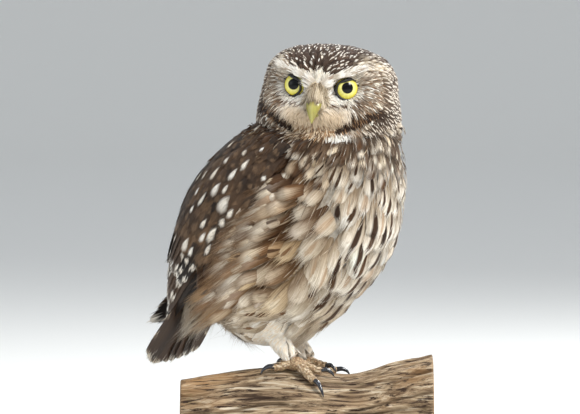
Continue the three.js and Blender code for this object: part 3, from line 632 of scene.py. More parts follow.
# Bill: short and hooked, of olive yellow horn that grows paler along its ridge. The upper half closes
# over the lower one along the line of the mouth, and a nostril opens each side of the soft base,
# which the bristles of the face half hide.
UPPER = {"ridge": [(-28, -4.4), (-36.2, -5.2), (-40.4, -9), (-41.9, -14.4), (-40.6, -21.6)],
         "edge": [(-28, -13.4), (-34, -13.4), (-37.4, -14.4), (-39.2, -17), (-40.2, -21.4)],
         "half": [(0, 5), (0.25, 4.9), (0.5, 4.4), (0.75, 2.9), (1, 0.4)]}
LOWER = {"ridge": [(-28, -14), (-34, -13.9), (-37, -15), (-38.6, -17.6)],
         "edge": [(-28, -17.4), (-33.6, -17.6), (-36.6, -18), (-38, -18.6)],
         "half": [(0, 4.5), (1 / 3, 4.3), (2 / 3, 3.4), (1, 1.4)]}
NOSTRIL = {"place": (3.4, -37.9, -7.8), "radius": 1.1}
BILL_STEPS, BILL_SIDES = 44, 56


def bill_half(table, steps, sides, pinch):
    """Rings from base to tip, with a ridge along the top that is sharper where the pinch is greater."""
    share = np.linspace(0, 1, steps + 1)
    high, low = (through([(0, y, z) for y, z in table[line]], share) for line in ("ridge", "edge"))
    half = track(table["half"], share)[:, 1][:, None, None]
    angle = round_circle(sides)[None, :, None]
    middle, reach = ((high + low) / 2)[:, None], ((high - low) / 2)[:, None]
    narrow = 1 - pinch * np.maximum(0, np.sin(angle)) ** 3
    return middle + reach * np.sin(angle) + half * np.cos(angle) * narrow * np.array([1.0, 0, 0])


horn = Finish("olive_yellow_horn", Roughness=0.3, Coat_Weight=0.35, Coat_Roughness=0.12, Subsurface_Weight=0.12,
              Subsurface_Scale=0.0012)
horn_streak = horn.noise(420, (1.6, 1, 0.22), 5, 0.6)
pale_share = horn.carried("pale")
horn_tone = horn.mix(pale_share, colour(140, 132, 52), colour(204, 196, 112))
horn_tone = horn.mix(horn.ramp(horn_streak, (0.4, 0.3), (0.62, 0.0)), horn_tone, colour(112, 98, 42))
# Each nostril is painted near black over its shallow dent: painted shade in its opening.
horn.paint(horn.mix(horn.carried("pit"), horn_tone, colour(30, 24, 14)))
horn.bump(horn_streak, 0.05, 0.4)

for name, table, pinch in (("upper", UPPER, 0.45), ("lower", LOWER, 0.0)):
    bill_points, bill_faces = lofted(bill_half(table, BILL_STEPS, BILL_SIDES, pinch))
    ridge_share = np.tile(np.maximum(0, np.sin(round_circle(BILL_SIDES))) ** 3, BILL_STEPS + 1)
    tip_share = np.repeat(np.linspace(0, 1, BILL_STEPS + 1), BILL_SIDES)
    pale = np.append(np.clip(0.25 + 0.7 * ridge_share - 0.25 * tip_share, 0, 1), [0.3, 0.3])
    aside = np.column_stack([np.abs(bill_points[:, 0]), bill_points[:, 1:]]) - NOSTRIL["place"]
    pit = np.exp(-(np.linalg.norm(aside, axis=1) / NOSTRIL["radius"]) ** 4) * (name == "upper")
    bill_points = bill_points - np.sign(bill_points[:, :1]) * pit[:, None] * (0.5, 0, 0)
    piece(f"bill_{name}_half", from_head(bill_points), bill_faces, horn, "bill", [f"bill_{name}"],
          {"pale": pale, "pit": pit})

# Body plumage: some thousands of soft contour feathers over the skin, each rooted under the tips of
# those ahead of it. A closed vane near the shaft breaks up into loose barbs round the rim, and each
# feather carries a pale tip, a drop or a dark streak of its own.
skin_normals = unit(outer_normals)
skin_corners = np.vstack([skin_quads[:, [0, 1, 2]], skin_quads[:, [0, 2, 3]]])
skin_middles = skin_points[skin_corners].mean(1)
corner_1, corner_2, corner_3 = (skin_points[skin_corners[:, k]] for k in range(3))
skin_areas = np.linalg.norm(np.cross(corner_2 - corner_1, corner_3 - corner_1), axis=1) / 2


def mixed(a, b, share):
    """Two tones mixed by a share for each feather."""
    share = np.asarray(share)[..., None]
    return np.asarray(a) * (1 - share) + np.asarray(b) * share


def toned(ground, *coats):
    """A ground with one tone after another laid over it, each by its share for every feather."""
    for tone, share in coats:
        ground = mixed(ground, tone, share)
    return ground


def swatch(red, green, blue):
    """A tone as three numbers that a feather can carry."""
    return np.array(colour(red, green, blue)[:3])


def rows_of(count, *values):
    """Rows of numbers, with one number or a run of them for each place in the row."""
    return np.column_stack([np.broadcast_to(value, count) for value in values])


def worn(ground, mark, place, size):
    """What each feather carries: its ground, its mark, where that lies, and its half size and fringe."""
    count = len(ground)
    return {"ground": ground, "mark": mark, "mark_place": rows_of(count, *place),
            "mark_size": rows_of(count, *size)}


def steps_along(steps):
    """Shares from root to tip, shaped to spread paths over them."""
    return np.linspace(0, 1, steps)[None, :, None]


def on_skin(points):
    """The skin's nearest place to each point, and its smooth normal there."""
    hits = [skin_tree.find_nearest(p) for p in points.tolist()]
    places = np.array([hit[0] for hit in hits])
    corners = skin_quads[[hit[2] for hit in hits]]
    near = 1 / (np.linalg.norm(skin_points[corners] - places[:, None], axis=2) + 0.15)
    return places, unit((skin_normals[corners] * near[..., None]).sum(1))


def scattered(inside, spacing, seed, stretch=1.0):
    """Roots on the skin with even gaps between them, which a stretch makes wider along the lie."""
    draw = np.random.default_rng(seed)
    weight = skin_areas * inside(skin_middles)
    count = int(4.5 * weight.sum() / spacing(skin_middles[weight > 0]).min() ** 2)
    face = skin_corners[draw.choice(len(weight), count, p=weight / weight.sum())]
    a, b = draw.random((2, count))
    turned_in = a + b > 1
    a[turned_in], b[turned_in] = 1 - a[turned_in], 1 - b[turned_in]
    c0, c1, c2 = (skin_points[face[:, k]] for k in range(3))
    points = c0 + (c1 - c0) * a[:, None] + (c2 - c0) * b[:, None]
    gaps = spacing(points)
    tree = KDTree(count)
    for i, p in enumerate(points.tolist()):
        tree.insert(p, i)
    tree.balance()
    free = np.ones(count, bool)
    flow = unit(lie(points))
    kept = []
    for i, p in enumerate(points.tolist()):
        if free[i]:
            kept.append(i)
            near = np.array([j for _, j, _ in tree.find_range(p, gaps[i] * stretch)])
            off = points[near] - points[i]
            ahead = off @ flow[i]
            free[near[(ahead / stretch) ** 2 + (off**2).sum(1) - ahead**2 < gaps[i] ** 2]] = False
    return points[kept]


def trunk_angle(owl):
    """Angle round the trunk from the breast, 0 in front and 180 degrees down the back."""
    return np.degrees(np.arctan2(np.abs(owl[:, 0]), -(owl[:, 1] + track(SPINE, owl[:, 2])[:, 1])))


SPINE = [(18, -33), (60, -20), (90, -15), (120, -14), (150, -7), (205, 4)]
EYE_SPOT = np.array([EYE["apart"] / 2 + 2.2, 0.0])


def leg_away(owl):
    """Distance from the nearer leg's middle line, level with each place."""
    away = []
    for leg in LEGS:
        x, y, z = np.array(leg_knots(leg))[::-1].T
        away.append(np.hypot(owl[:, 0] - np.interp(owl[:, 2], z, x), owl[:, 1] - np.interp(owl[:, 2], z, y)))
    return np.minimum(*away)


def lie(points):
    """The way the plumage lies: out from the eyes and bill, back over the crown, down the body."""
    owl, head = to_owl(points), to_head(points)
    angle = trunk_angle(owl)
    flank = smooth(25, 80, angle) * fade(112, 150, angle)
    backward = 0.45 + (0.8 + 0.5 * smooth(120, 95, owl[:, 2])) * flank + 0.4 * fade(26, 60, owl[:, 2])
    down = np.column_stack([0.1 * np.sign(owl[:, 0]) * smooth(0, 60, angle), backward, -np.ones(len(owl))])
    low = fade(14, 28, owl[:, 2])[:, None]
    by_leg = fade(12, 20, leg_away(owl))[:, None]
    down = unit(down) * (1 - low) + low * (by_leg * (0, -0.35, -1) + (1 - by_leg) * (0, 1, -0.45))
    side = np.sign(head[:, 0])
    from_eye_spot = np.column_stack([np.abs(head[:, 0]) - EYE_SPOT[0], head[:, 2] - EYE_SPOT[1]])
    eye_away = np.linalg.norm(from_eye_spot, axis=1)
    from_bill = np.column_stack([head[:, 0], head[:, 2] + 9])
    bill_away = np.linalg.norm(from_bill, axis=1)
    front = smooth(-2, 20, -head[:, 1])
    eye_pull = front * hump(eye_away, 15) * 1.3
    bill_pull = front * hump(bill_away, 13) * 1.6
    chin_pull = front * fade(-24, -10, head[:, 2]) * 1.1
    brow_pull = (front * smooth(3, 7, head[:, 2]) * fade(12, 20, head[:, 2]) * 1.2
                 * smooth(0, 7, np.abs(head[:, 0])))
    rest = 0.25 + 0.9 * (1 - front) + 0.8 * smooth(9, 18, head[:, 2])
    flow = rest[:, None] * rows_of(len(head), 0.012 * head[:, 0], 1.0, -0.45)
    flow[:, [0, 2]] += ((eye_pull / np.maximum(eye_away, 1))[:, None] * from_eye_spot
                        * rows_of(len(head), side, 1.0))
    flow[:, [0, 2]] += (bill_pull / np.maximum(bill_away, 1))[:, None] * from_bill
    flow += chin_pull[:, None] * rows_of(len(head), 0.03 * head[:, 0], 0.0, -1.0)
    flow += brow_pull[:, None] * rows_of(len(head), side * 0.9, 0.0, 0.35)
    headed = smooth(137, 152, owl[:, 2])[:, None]
    return from_owl(unit(flow) @ HEAD_TURN.T * headed + down * (1 - headed)) - STANCE["place"]


def combed(roots, lengths, steps=4, waver=0.0, seed=1):
    """Paths over the skin from each root along the lie, with the skin's normals on the way."""
    stray = np.random.default_rng(seed).normal(0, 1, len(roots)) * waver + 1.6 * waver * drift(roots, 13, seed)
    path, ups = [], []
    here = roots
    for _ in range(steps + 1):
        spot, up = on_skin(here)
        ahead = lie(spot)
        ahead = unit(ahead - (ahead * up).sum(1, keepdims=True) * up)
        ahead = unit(ahead + np.cross(up, ahead) * stray[:, None])
        path.append(spot)
        ups.append(up)
        here = spot + ahead * (lengths / steps)[:, None]
    return np.stack(path, 1), np.stack(ups, 1)


def unkinked(path, lengths):
    """Marks the paths that run on evenly, with no turn back where the body folds."""
    legs = np.diff(path, axis=1)
    runs = np.linalg.norm(legs, axis=2)
    ways = unit(legs)
    bends = (ways[:, 1:] * ways[:, :-1]).sum(2).min(1)
    even = lengths / legs.shape[1]
    return (bends > 0.6) & (runs.min(1) > 0.5 * even) & (runs.max(1) < 1.5 * even)


def feather_shape(widths, columns, rows, barbs, split_from, barb_length, forward, hairs=0):
    """One feather flat: its corners across and along, triangles, the loose barbs of its rim, and hairs
    that lie along its upper face."""
    along = np.asarray(rows, float)
    half = np.interp(along, *np.asarray(widths, float).T)
    across = np.linspace(-1, 1, columns + 1)
    corners = np.column_stack([np.outer(half, across).ravel(), np.repeat(along, columns + 1)])
    index = np.arange(len(along) * (columns + 1)).reshape(len(along), columns + 1)
    a, b, c, d = index[:-1, :-1].ravel(), index[:-1, 1:].ravel(), index[1:, 1:].ravel(), index[1:, :-1].ravel()
    triangles = [np.column_stack([a, b, c]), np.column_stack([a, c, d])]
    fine = np.linspace(split_from, along[-1], 24)
    side = np.interp(fine, *np.asarray(widths, float).T)
    top = np.linspace(-side[-1], side[-1], 9)[1:-1]
    rim = np.vstack([np.column_stack([-side, fine]), np.column_stack([top, np.full(7, along[-1])]),
                     np.column_stack([side, fine])[::-1]])
    run = np.concatenate([[0], np.cumsum(np.hypot(*(np.diff(rim, axis=0) * (1, 2.2)).T))])
    feet = np.column_stack([np.interp(np.linspace(0, run[-1], barbs + 1), run, rim[:, k]) for k in (0, 1)])
    middles = (feet[1:] + feet[:-1]) / 2
    lean = np.clip(middles[:, 0] / max(side.max(), 1e-6), -1, 1)
    aim = unit(np.column_stack([lean * (1 - forward), forward + 0.35 * (1 - np.abs(lean))]))
    spots = np.random.default_rng(hairs).random((hairs, 2))
    hair_along = split_from + (along[-1] - split_from) * spots[:, 1]
    hair_across = (2 * spots[:, 0] - 1) * 0.95 * np.interp(hair_along, *np.asarray(widths, float).T)
    roots = np.column_stack([hair_across, hair_along])
    hair_aim = np.column_stack([-0.1 * hair_across, np.full(hairs, 1.0)]) * 2.2
    first = len(corners)
    foot = first + np.arange(barbs)
    left = first + barbs + 1 + np.arange(hairs)
    tips = first + barbs + 1 + 2 * hairs
    triangles.append(np.column_stack([foot, foot + 1, tips + np.arange(barbs)]))
    triangles.append(np.column_stack([left, left + hairs, tips + barbs + np.arange(hairs)]))
    return {"corners": np.vstack([corners, feet, roots - (0.035, 0), roots + (0.035, 0), middles, roots]),
            "tips": tips, "hairs": (first + barbs + 1, hairs),
            "aim": np.vstack([aim, hair_aim]) * barb_length, "triangles": np.vstack(triangles)}


def unwrapped(points):
    """Each place on a flat layout of the skin: round the trunk or head, and up it."""
    owl, head = to_owl(points), to_head(points)
    headed = owl[:, 2] > 146
    centre = np.where(headed[:, None], head, owl + (0, 20, 0))
    turn = np.arctan2(centre[:, 0], -centre[:, 1]) / (2 * np.pi) + 0.5
    rise = np.arctan2(head[:, 2] + 6, np.hypot(head[:, 0], head[:, 1])) / np.pi + 0.5
    height = np.where(headed, 0.6 + 0.39 * rise, 0.01 + 0.56 * np.clip(owl[:, 2] / 150, 0, 1))
    return np.column_stack([turn * 0.99 + 0.005, height])


def plumage(name, shape, path, ups, size, look, finish, slot, seed, stands_for=(), layout=None, most=185000):
    """Feathers of one kind laid along their paths, as joined pieces of no more triangles than the most."""
    draw = np.random.default_rng(seed)
    total, steps = path.shape[0], path.shape[1] - 1
    if ups.ndim == 2:
        ups = np.repeat(ups[:, None], steps + 1, 1)
    size = {"lift": 0.0, "bow": 0.0, "root": 0.0, "curl": 0.0, "roll": 0.0, "stray": 1.0, "loose": 1.0, **size}
    half, lift, bow, curl, roll, loose = (np.reshape(size[key], (-1, 1))
                                          for key in ("half", "lift", "bow", "curl", "roll", "loose"))
    ahead = np.gradient(path, axis=1)
    beside = unit(np.cross(ahead, ups))
    corners, tips = shape["corners"], shape["tips"]
    flat = np.repeat(corners[None], total, 0)
    reach = draw.gamma(6, 1 / 6, (total, len(shape["aim"]), 1)) * loose[..., None]
    flat[:, tips:] += shape["aim"] * reach + draw.normal(0, 0.02, flat[:, tips:].shape)
    across, along = flat[..., 0], flat[..., 1]
    k = np.clip((along * steps).astype(int), 0, steps - 1)
    f = (along * steps - k)[..., None]
    each = np.arange(total)[:, None]
    where, up, out = (a[each, k] * (1 - f) + a[each, k + 1] * f for a in (path, ups, beside))
    height = (size["root"] + lift * smooth(-0.05, 0.95, along) - bow * across**2
              - 0.1 * lift * smooth(0.8, 1.2, along))
    height += curl * smooth(0.75, 1.25, along)
    height -= across * roll
    height[:, tips:] += draw.normal(0, 0.12, height[:, tips:].shape) * size["stray"]
    hair_feet, hairs = shape["hairs"]
    height[:, hair_feet:hair_feet + 2 * hairs] += 0.05
    height[:, height.shape[1] - hairs:] += draw.gamma(2, 0.14, (total, hairs))
    points = where + out * (across * half)[..., None] + up * height[..., None]
    layout = unwrapped(path[:, 0]) if layout is None else layout
    patch = layout[:, None] + np.stack([across * 0.0014, (along - 0.5) * 0.003], -1)
    seeds = np.repeat(draw.random(total)[:, None], flat.shape[1], 1)
    own = np.tile(draw.random((total, hairs)), 2)
    seeds[:, hair_feet:hair_feet + 2 * hairs] = own
    seeds[:, height.shape[1] - hairs:] = own[:, :hairs]
    flat_values = np.stack([across, along, seeds], -1)
    share = int(most // len(shape["triangles"]))
    for part, start in enumerate(range(0, total, share)):
        some = slice(start, start + share)
        count = len(points[some])
        shift = np.arange(count)[:, None, None] * len(corners)
        faces = (shape["triangles"][None] + shift).reshape(-1, 3)
        carries = {"across_along": flat_values[some].reshape(-1, 3)}
        for key in ("ground", "mark", "mark_place", "mark_size"):
            carries[key] = np.repeat(look[key][some], len(corners), 0)
        label = name if total <= share else f"{name}_{part + 1}"
        thing = piece(label, points[some].reshape(-1, 3), faces, finish, slot,
                      stands_for if part == 0 else (), carries)
        places = patch[some].reshape(-1, 2)[faces.ravel()]
        thing.data.uv_layers.new(name="OFBake").data.foreach_set("uv", places.astype(np.float32).ravel())


def feather_finish(name, streaks, contrast, root_shade, rim_shade=1.0, hairy=False, shade_to=0.75, **sockets):
    """Vane colour from what each feather carries: ground, mark, and barbs as fine streaks, which run
    aslant from the shaft, or along it where the feather is hairy. Each vane darkens toward its root and
    its side edges: painted shade of the feathers that lie over and beside it, in part also their darker
    bases, and the painted shade is tinted warm."""
    finish = Finish(name, **sockets)
    times, plus, span = finish.times, finish.plus, finish.span
    across, along, seed = finish.parts("across_along")
    slant = finish.math("SUBTRACT", along, times(finish.math("ABSOLUTE", across), 0.42))
    fine, coarse = (across, along) if hairy else (slant, across)
    barb_place = finish.node("CombineXYZ", {0: times(fine, streaks), 1: times(coarse, 1.4),
                                            2: times(seed, 83.0)}).outputs[0]
    barb = finish.noise(1.0, (1, 1, 1), 3, 0.65, at=barb_place)
    place, size = finish.parts("mark_place"), finish.parts("mark_size")
    ragged = plus(along, times(finish.math("SUBTRACT", barb, 0.5), 0.5 if hairy else 0.3))
    apart = finish.math("SUBTRACT", ragged, place[1])
    half_gap = times(place[2], 0.5)
    spaced = finish.node("Math", {0: apart, 1: half_gap, 2: times(half_gap, -1.0)}, operation="WRAP").outputs[0]
    far_along = finish.math("DIVIDE", spaced, size[0])
    taper = span(far_along, -1.0, 0.6, 0.5, 1.15)
    far_across = finish.math("DIVIDE", finish.math("SUBTRACT", across, place[0]), times(size[1], taper))
    far = finish.math("SQRT", plus(times(far_along, far_along), times(far_across, far_across)))
    blur = times(size[1], 0.72)
    marked = span(far, plus(1.0, blur), finish.math("SUBTRACT", 1.0, blur))
    fringe_end = plus(size[2], 0.05)
    fringed = span(ragged, size[2], fringe_end)
    fringed = times(fringed, finish.math("GREATER_THAN", size[2], 0.01))
    marked = finish.math("MAXIMUM", marked, fringed)
    tone = finish.mix(marked, finish.carried("ground", "Color"), finish.carried("mark", "Color"))
    lit = span(barb, 0.3, 0.7, 1 - contrast, 1 + contrast * 0.6)
    # Painted shade: darker toward the root, under the feather ahead, and at the side edges between feathers; in
    # part also the darker bases feathers have.
    deep = span(along, shade_to - 0.6, shade_to, root_shade, 1.0)
    rim = span(finish.math("ABSOLUTE", across), 0.45, 1.05, 1.0, rim_shade)
    shade = times(times(lit, deep), rim)
    # The painted shade is tinted warm, redder than it is blue.
    warm_painted_shade = {k: finish.math("POWER", shade, power) for k, power in enumerate((0.84, 1.0, 1.2))}
    finish.paint(finish.mix(1.0, tone, finish.node("CombineXYZ", warm_painted_shade).outputs[0], "MULTIPLY"))
    finish.bump(barb, 0.25, 0.55)
    return finish


def varied(tone, draw, count, spread=0.12):
    """The same tone for many feathers, each a little lighter or darker."""
    return np.asarray(tone) * (1 + draw.normal(0, spread, (count, 1)))


def under_wing(points):
    """1 where a folded wing covers the trunk."""
    owl = to_owl(points)
    return (smooth(0, 6, owl[:, 1] - wing_edge(owl[:, 2])) * (owl[:, 2] < 146)
            * (np.abs(owl[:, 0]) > wing_bed(owl[:, 2])))


def wing_bed(height):
    """How far out to the side the bed of a folded wing starts at a height."""
    return np.interp(height, [78, 108, 135, 154], [15, 17, 19, 22])


def wing_edge(height):
    """How far back the folded wing's lower edge lies at a height."""
    return np.interp(height, [30, 47, 83, 113, 139], [124, 92, 50, 20, 2])


# A repeat longer than any feather, so that its mark comes only once.
ONCE = 9.0
BLACKISH, DARK, UMBER, BROWN = swatch(36, 24, 16), swatch(54, 39, 29), swatch(92, 67, 47), swatch(138, 105, 75)
TAWNY, BUFF, CREAM, WHITE = (swatch(172, 137, 100), swatch(210, 188, 154), swatch(228, 213, 188),
                             swatch(242, 238, 230))


def band_share(head):
    """The dark band along the facial disc's lower edge."""
    across, z = np.abs(head[:, 0]), head[:, 2]
    off = z - (-25.4 + 0.54 * (across - 16.7))
    return np.exp(-(off / 3.2) ** 4) * smooth(11, 16, across) * fade(36, 41, across) * smooth(2, 9, -head[:, 1])


def chin_share(head):
    """1 on the pale chin between the bands."""
    across, z = np.abs(head[:, 0]), head[:, 2]
    return (smooth(-28.4, -27.0, z - 0.55 * np.maximum(across - 13, 0)) * fade(26, 32, across)
            * smooth(2, 9, -head[:, 1]))


def throat_share(head):
    """The white band across the throat, below the dark ones."""
    off = head[:, 2] + 30.3 - 0.25 * (head[:, 0] - 22)
    return hump(off, 2.6) * smooth(4, 11, head[:, 0]) * fade(30, 38, head[:, 0]) * smooth(-4, 6, -head[:, 1])


def trunk_look(roots, draw):
    """Ground, mark and where the mark lies, by the place on the body."""
    owl, head, count = to_owl(roots), to_head(roots), len(roots)
    angle, z = trunk_angle(owl), owl[:, 2]
    patch, broad = drift(roots, 11, 21), drift(roots, 26, 22)
    chance, second = draw.random(count), draw.random(count)
    front = fade(36, 70, angle + 9 * patch + draw.normal(0, 6, count))
    back = smooth(108, 128, angle) * smooth(26, 54, z)
    belly = fade(36, 58, z + 6 * patch) * (1 - back)
    shoulder = smooth(112, 130, z + 6 * patch) * smooth(70, 86, angle + 6 * patch) * (1 - back)

    # Flank: brown feathers with broad soft pale tips, some of them plain.
    ground = mixed(mixed(BROWN, UMBER, 0.25 + 0.6 * smooth(0.4, 1, chance)), TAWNY,
                   (0.25 + 0.35 * smooth(100, 60, z)) * second)
    mark = mixed(mixed(WHITE, CREAM, 0.6), BUFF, np.clip(0.8 * second - 0.5 * broad, 0, 1))
    place = rows_of(count, draw.normal(0, 0.2, count), 0.8 + 0.05 * patch, ONCE)
    size = rows_of(count, draw.uniform(0.24, 0.42, count), draw.uniform(0.6, 1.0, count), 0.0)
    mark = mixed(mark, ground, 0.45 * draw.random(count))
    plain = chance + 0.35 * patch > 0.95
    mark[plain] = mixed(TAWNY, BROWN, second)[plain]

    def lay(share, new_ground, new_mark, new_place, new_size):
        """Lay other tones over a share of the feathers."""
        nonlocal ground, mark
        ground = mixed(ground, new_ground, share)
        some = share > draw.random(count)
        mark[some] = np.broadcast_to(new_mark, mark.shape)[some]
        place[some, 1] = np.broadcast_to(new_place, (count,))[some]
        for k in (0, 1):
            size[some, k] = np.broadcast_to(new_size[k], (count,))[some]

    # Breast: white with a dark streak down many feathers.
    pale = 0.93 * mixed(WHITE, CREAM, 0.05 + 0.3 * second + 0.5 * smooth(16, 50, angle))
    streaked = chance + 0.25 * patch < 0.82
    streak = np.where(streaked[:, None], mixed(mixed(UMBER, BROWN, 0.15), DARK, second), mixed(pale, TAWNY, 0.6))
    lay(front, pale, streak, draw.uniform(0.58, 0.86, count),
        (draw.uniform(0.18, 0.42, count), draw.uniform(0.16, 0.44, count)))
    place[:, 0] = np.where(front > 0.5, draw.normal(0, 0.22, count), place[:, 0])
    barred = (chance > 0.5) & (chance < 0.5 + 0.24 * smooth(105, 70, z)) & (front < 0.5)
    mark[barred], place[barred, 1] = mixed(BROWN, DARK, second)[barred], 0.74
    size[barred] = rows_of(count, draw.uniform(0.18, 0.3, count), draw.uniform(0.18, 0.3, count), 0.0)[barred]
    ground[barred] = mixed(BUFF, TAWNY, second)[barred]
    # Belly and vent: cream, nearly plain.
    cream = mixed(CREAM, WHITE, second)
    lay(0.95 * belly, 0.9 * mixed(cream, BUFF, 0.6 * (chance < 0.6)),
        np.where((chance < 0.24)[:, None], mixed(BROWN, UMBER, second), 0.92 * cream), 0.8,
        (draw.uniform(0.1, 0.2, count), draw.uniform(0.2, 0.4, count)))
    # Upper breast and the sides of the neck: dark, with pale drops.
    band = smooth(118, 130, z + 5 * patch) * fade(60, 110, angle) * (1 - smooth(144, 149, z) * (angle < 60))
    spotted = (draw.random(count) < 0.62)[:, None]
    lay(0.88 * band, mixed(BROWN, DARK, 0.32 + 0.6 * chance),
        np.where(spotted, mixed(CREAM, WHITE, second), UMBER), 0.82,
        (draw.uniform(0.16, 0.3, count), draw.uniform(0.45, 0.9, count)))
    lay(shoulder, mixed(UMBER, DARK, 0.6 * chance), np.where((second < 0.3)[:, None], BUFF, UMBER), 0.88,
        (draw.uniform(0.1, 0.16, count), draw.uniform(0.3, 0.5, count)))
    lay(back, mixed(UMBER, DARK, 0.5 * chance),
        np.where((second < 0.35)[:, None], mixed(WHITE, BUFF, chance), UMBER), 0.84,
        (draw.uniform(0.08, 0.14, count), draw.uniform(0.28, 0.5, count)))
    # Chin, the dark bands under the disc and the white throat follow the turned head.
    lay(throat_share(head), mixed(WHITE, CREAM, 0.4 * second), WHITE, 0.9, (0.2, 0.5))
    lay(chin_share(head), mixed(swatch(212, 190, 158), WHITE, 0.3 * second), CREAM, 0.9, (0.2, 0.5))
    lay(band_share(head), mixed(BLACKISH, DARK, chance), BLACKISH, 0.9, (0.1, 0.3))
    tone = (1 + draw.normal(0, 0.09, (count, 1))) * (1 + 0.14 * broad[:, None])
    return worn(np.minimum(ground * tone, 0.92), np.minimum(mark * tone, 0.92), place.T, size.T)


soft_plume = feather_finish("soft_body_feathers", 7.5, 0.46, 0.26, 0.62, True, 0.9, Roughness=0.85,
                            Sheen_Weight=0.15, Sheen_Roughness=0.5, Specular_IOR_Level=0.1)
PLUME = feather_shape([(0, 0.15), (0.2, 0.55), (0.45, 0.86), (0.65, 1), (0.8, 0.97), (0.88, 0.84), (0.93, 0.62),
                       (0.95, 0.46)], 8,
                      [0, 0.16, 0.3, 0.42, 0.53, 0.63, 0.72, 0.8, 0.87, 0.92, 0.95], 66, 0.4, 0.12, 0.88, 130)


def trunk_gap(points):
    """Gap between body feathers: widest on the breast, narrower up the neck and low on the belly."""
    owl = to_owl(points)
    z = owl[:, 2]
    broad = 0.9 * fade(40, 90, trunk_angle(owl)) * smooth(40, 60, z)
    return 5.6 + broad - (2.3 + broad) * smooth(108, 142, z) - 2.2 * fade(18, 32, z) - 0.6 * fade(32, 60, z)


def legged(owl):
    """True on a leg's own short feathers, which reach up over the belly in front."""
    return (owl[:, 2] < 25) | ((leg_away(owl) < 13) & (owl[:, 2] < 36))


def on_trunk(points):
    """Where body feathers root: below the head, off the legs, the chin and the wings' beds."""
    z = to_owl(points)[:, 2]
    return ((z < 153) * ~legged(to_owl(points)) * (1 - (under_wing(points) > 0.9))
            * (1 - (chin_share(to_head(points)) > 0.5)))


def over_wing(points):
    """1 beside a folded wing's edges, where the body's feathers rise to lie over it."""
    owl = to_owl(points)
    off = owl[:, 1] - wing_edge(owl[:, 2])
    inner = wing_bed(owl[:, 2])
    front_edge = smooth(-26, -10, off) * fade(8, 12, off) * smooth(62, 80, owl[:, 2])
    back_edge = (smooth(inner - 14, inner - 5, np.abs(owl[:, 0])) * (trunk_angle(owl) > 100)
                 * smooth(80, 95, owl[:, 2]))
    return np.maximum(front_edge, back_edge)


def chosen(some, *groups):
    """The same choice of feathers from paths, sizes and looks."""
    return [{k: v[some] if np.ndim(v) else v for k, v in g.items()} if isinstance(g, dict) else g[some]
            for g in groups]


trunk_draw = np.random.default_rng(7)
trunk_roots = scattered(on_trunk, trunk_gap, 11, 1.5)
trunk_owl = to_owl(trunk_roots)
trunk_scale = trunk_gap(trunk_roots) / 5.6 * trunk_draw.uniform(0.8, 1.2, len(trunk_roots))
loose = 1 + 0.5 * fade(45, 85, trunk_owl[:, 2]) + 0.4 * smooth(40, 80, trunk_angle(trunk_owl))
trunk_lengths = np.minimum(25 * trunk_scale**0.9, np.maximum(8, 1.25 * (trunk_owl[:, 2] - 19)))
trunk_path, trunk_ups = combed(trunk_roots, trunk_lengths, 5, waver=0.17)
tucked = smooth(26, 38, trunk_owl[:, 1]) * fade(30, 46, trunk_owl[:, 2])
trunk_size = {"half": 5.3 * trunk_scale, "bow": 2.5 * trunk_scale, "root": 0.1,
              "loose": loose * (1 - 0.6 * tucked), "stray": 1.2,
              "lift": (4.3 * trunk_scale**0.7 * trunk_draw.uniform(0.85, 1.2, len(trunk_roots))
                       + 2.5 * over_wing(trunk_roots)) * (1 - 0.75 * tucked),
              "curl": trunk_draw.normal(-1.9, 0.5, len(trunk_roots)) * trunk_scale}
tip_owl = to_owl(trunk_path[:, -1])
even = unkinked(trunk_path, trunk_lengths) & (leg_away(tip_owl) + tip_owl[:, 2] > 36) & (tip_owl[:, 2] > 22)
plumage("body_feathers", PLUME, *chosen(even, trunk_path, trunk_ups, trunk_size,
                                        trunk_look(trunk_path[:, 4], trunk_draw)),
        soft_plume, "plumage", 5)

WISP = feather_shape([(0, 0.5), (0.5, 1), (0.9, 0.4)], 2, [0, 0.3, 0.6, 0.9], 4, 0.5, 0.3, 0.95)
wisp_roots = scattered(lambda points: on_trunk(points) * (to_owl(points)[:, 2] > 36),
                       lambda points: 0.6 * trunk_gap(points), 13, 2.0)
wisp_lengths = trunk_draw.uniform(9, 18, len(wisp_roots)) * (trunk_gap(wisp_roots) / 5.2) ** 0.6
wisp_path, wisp_ups = combed(wisp_roots, wisp_lengths, waver=0.2, seed=3)
wisp_size = {"half": trunk_draw.uniform(0.12, 0.3, len(wisp_roots)), "root": 2.2, "stray": 1.5,
             "lift": 2.2 * trunk_draw.uniform(0.7, 1.3, len(wisp_roots)) + 2.5 * over_wing(wisp_roots),
             "curl": trunk_draw.normal(0.1, 0.5, len(wisp_roots))}
wisp_look = trunk_look(wisp_path[:, -2], trunk_draw)
even = unkinked(wisp_path, wisp_lengths) & (to_owl(wisp_path[:, -1])[:, 2] > 24)
plumage("loose_body_barbs", WISP, *chosen(even, wisp_path, wisp_ups, wisp_size, wisp_look),
        soft_plume, "plumage", 14)

# The skin shows only in the gaps between feathers, so it carries their tone with a soft grain.
skin_ground = Finish("plumage_skin_ground", Roughness=0.85, Specular_IOR_Level=0.1)
ground_patch = skin_ground.noise(180, (1, 1, 1), 4)
skin_ground.paint(skin_ground.mix(skin_ground.ramp(ground_patch, (0.35, 0.0), (0.65, 0.5)),
                                 skin_ground.carried("ground", "Color"), colour(70, 54, 42)))
skin_ground.bump(skin_ground.noise(900, (1, 1, 1), 4), 0.4, 0.7)

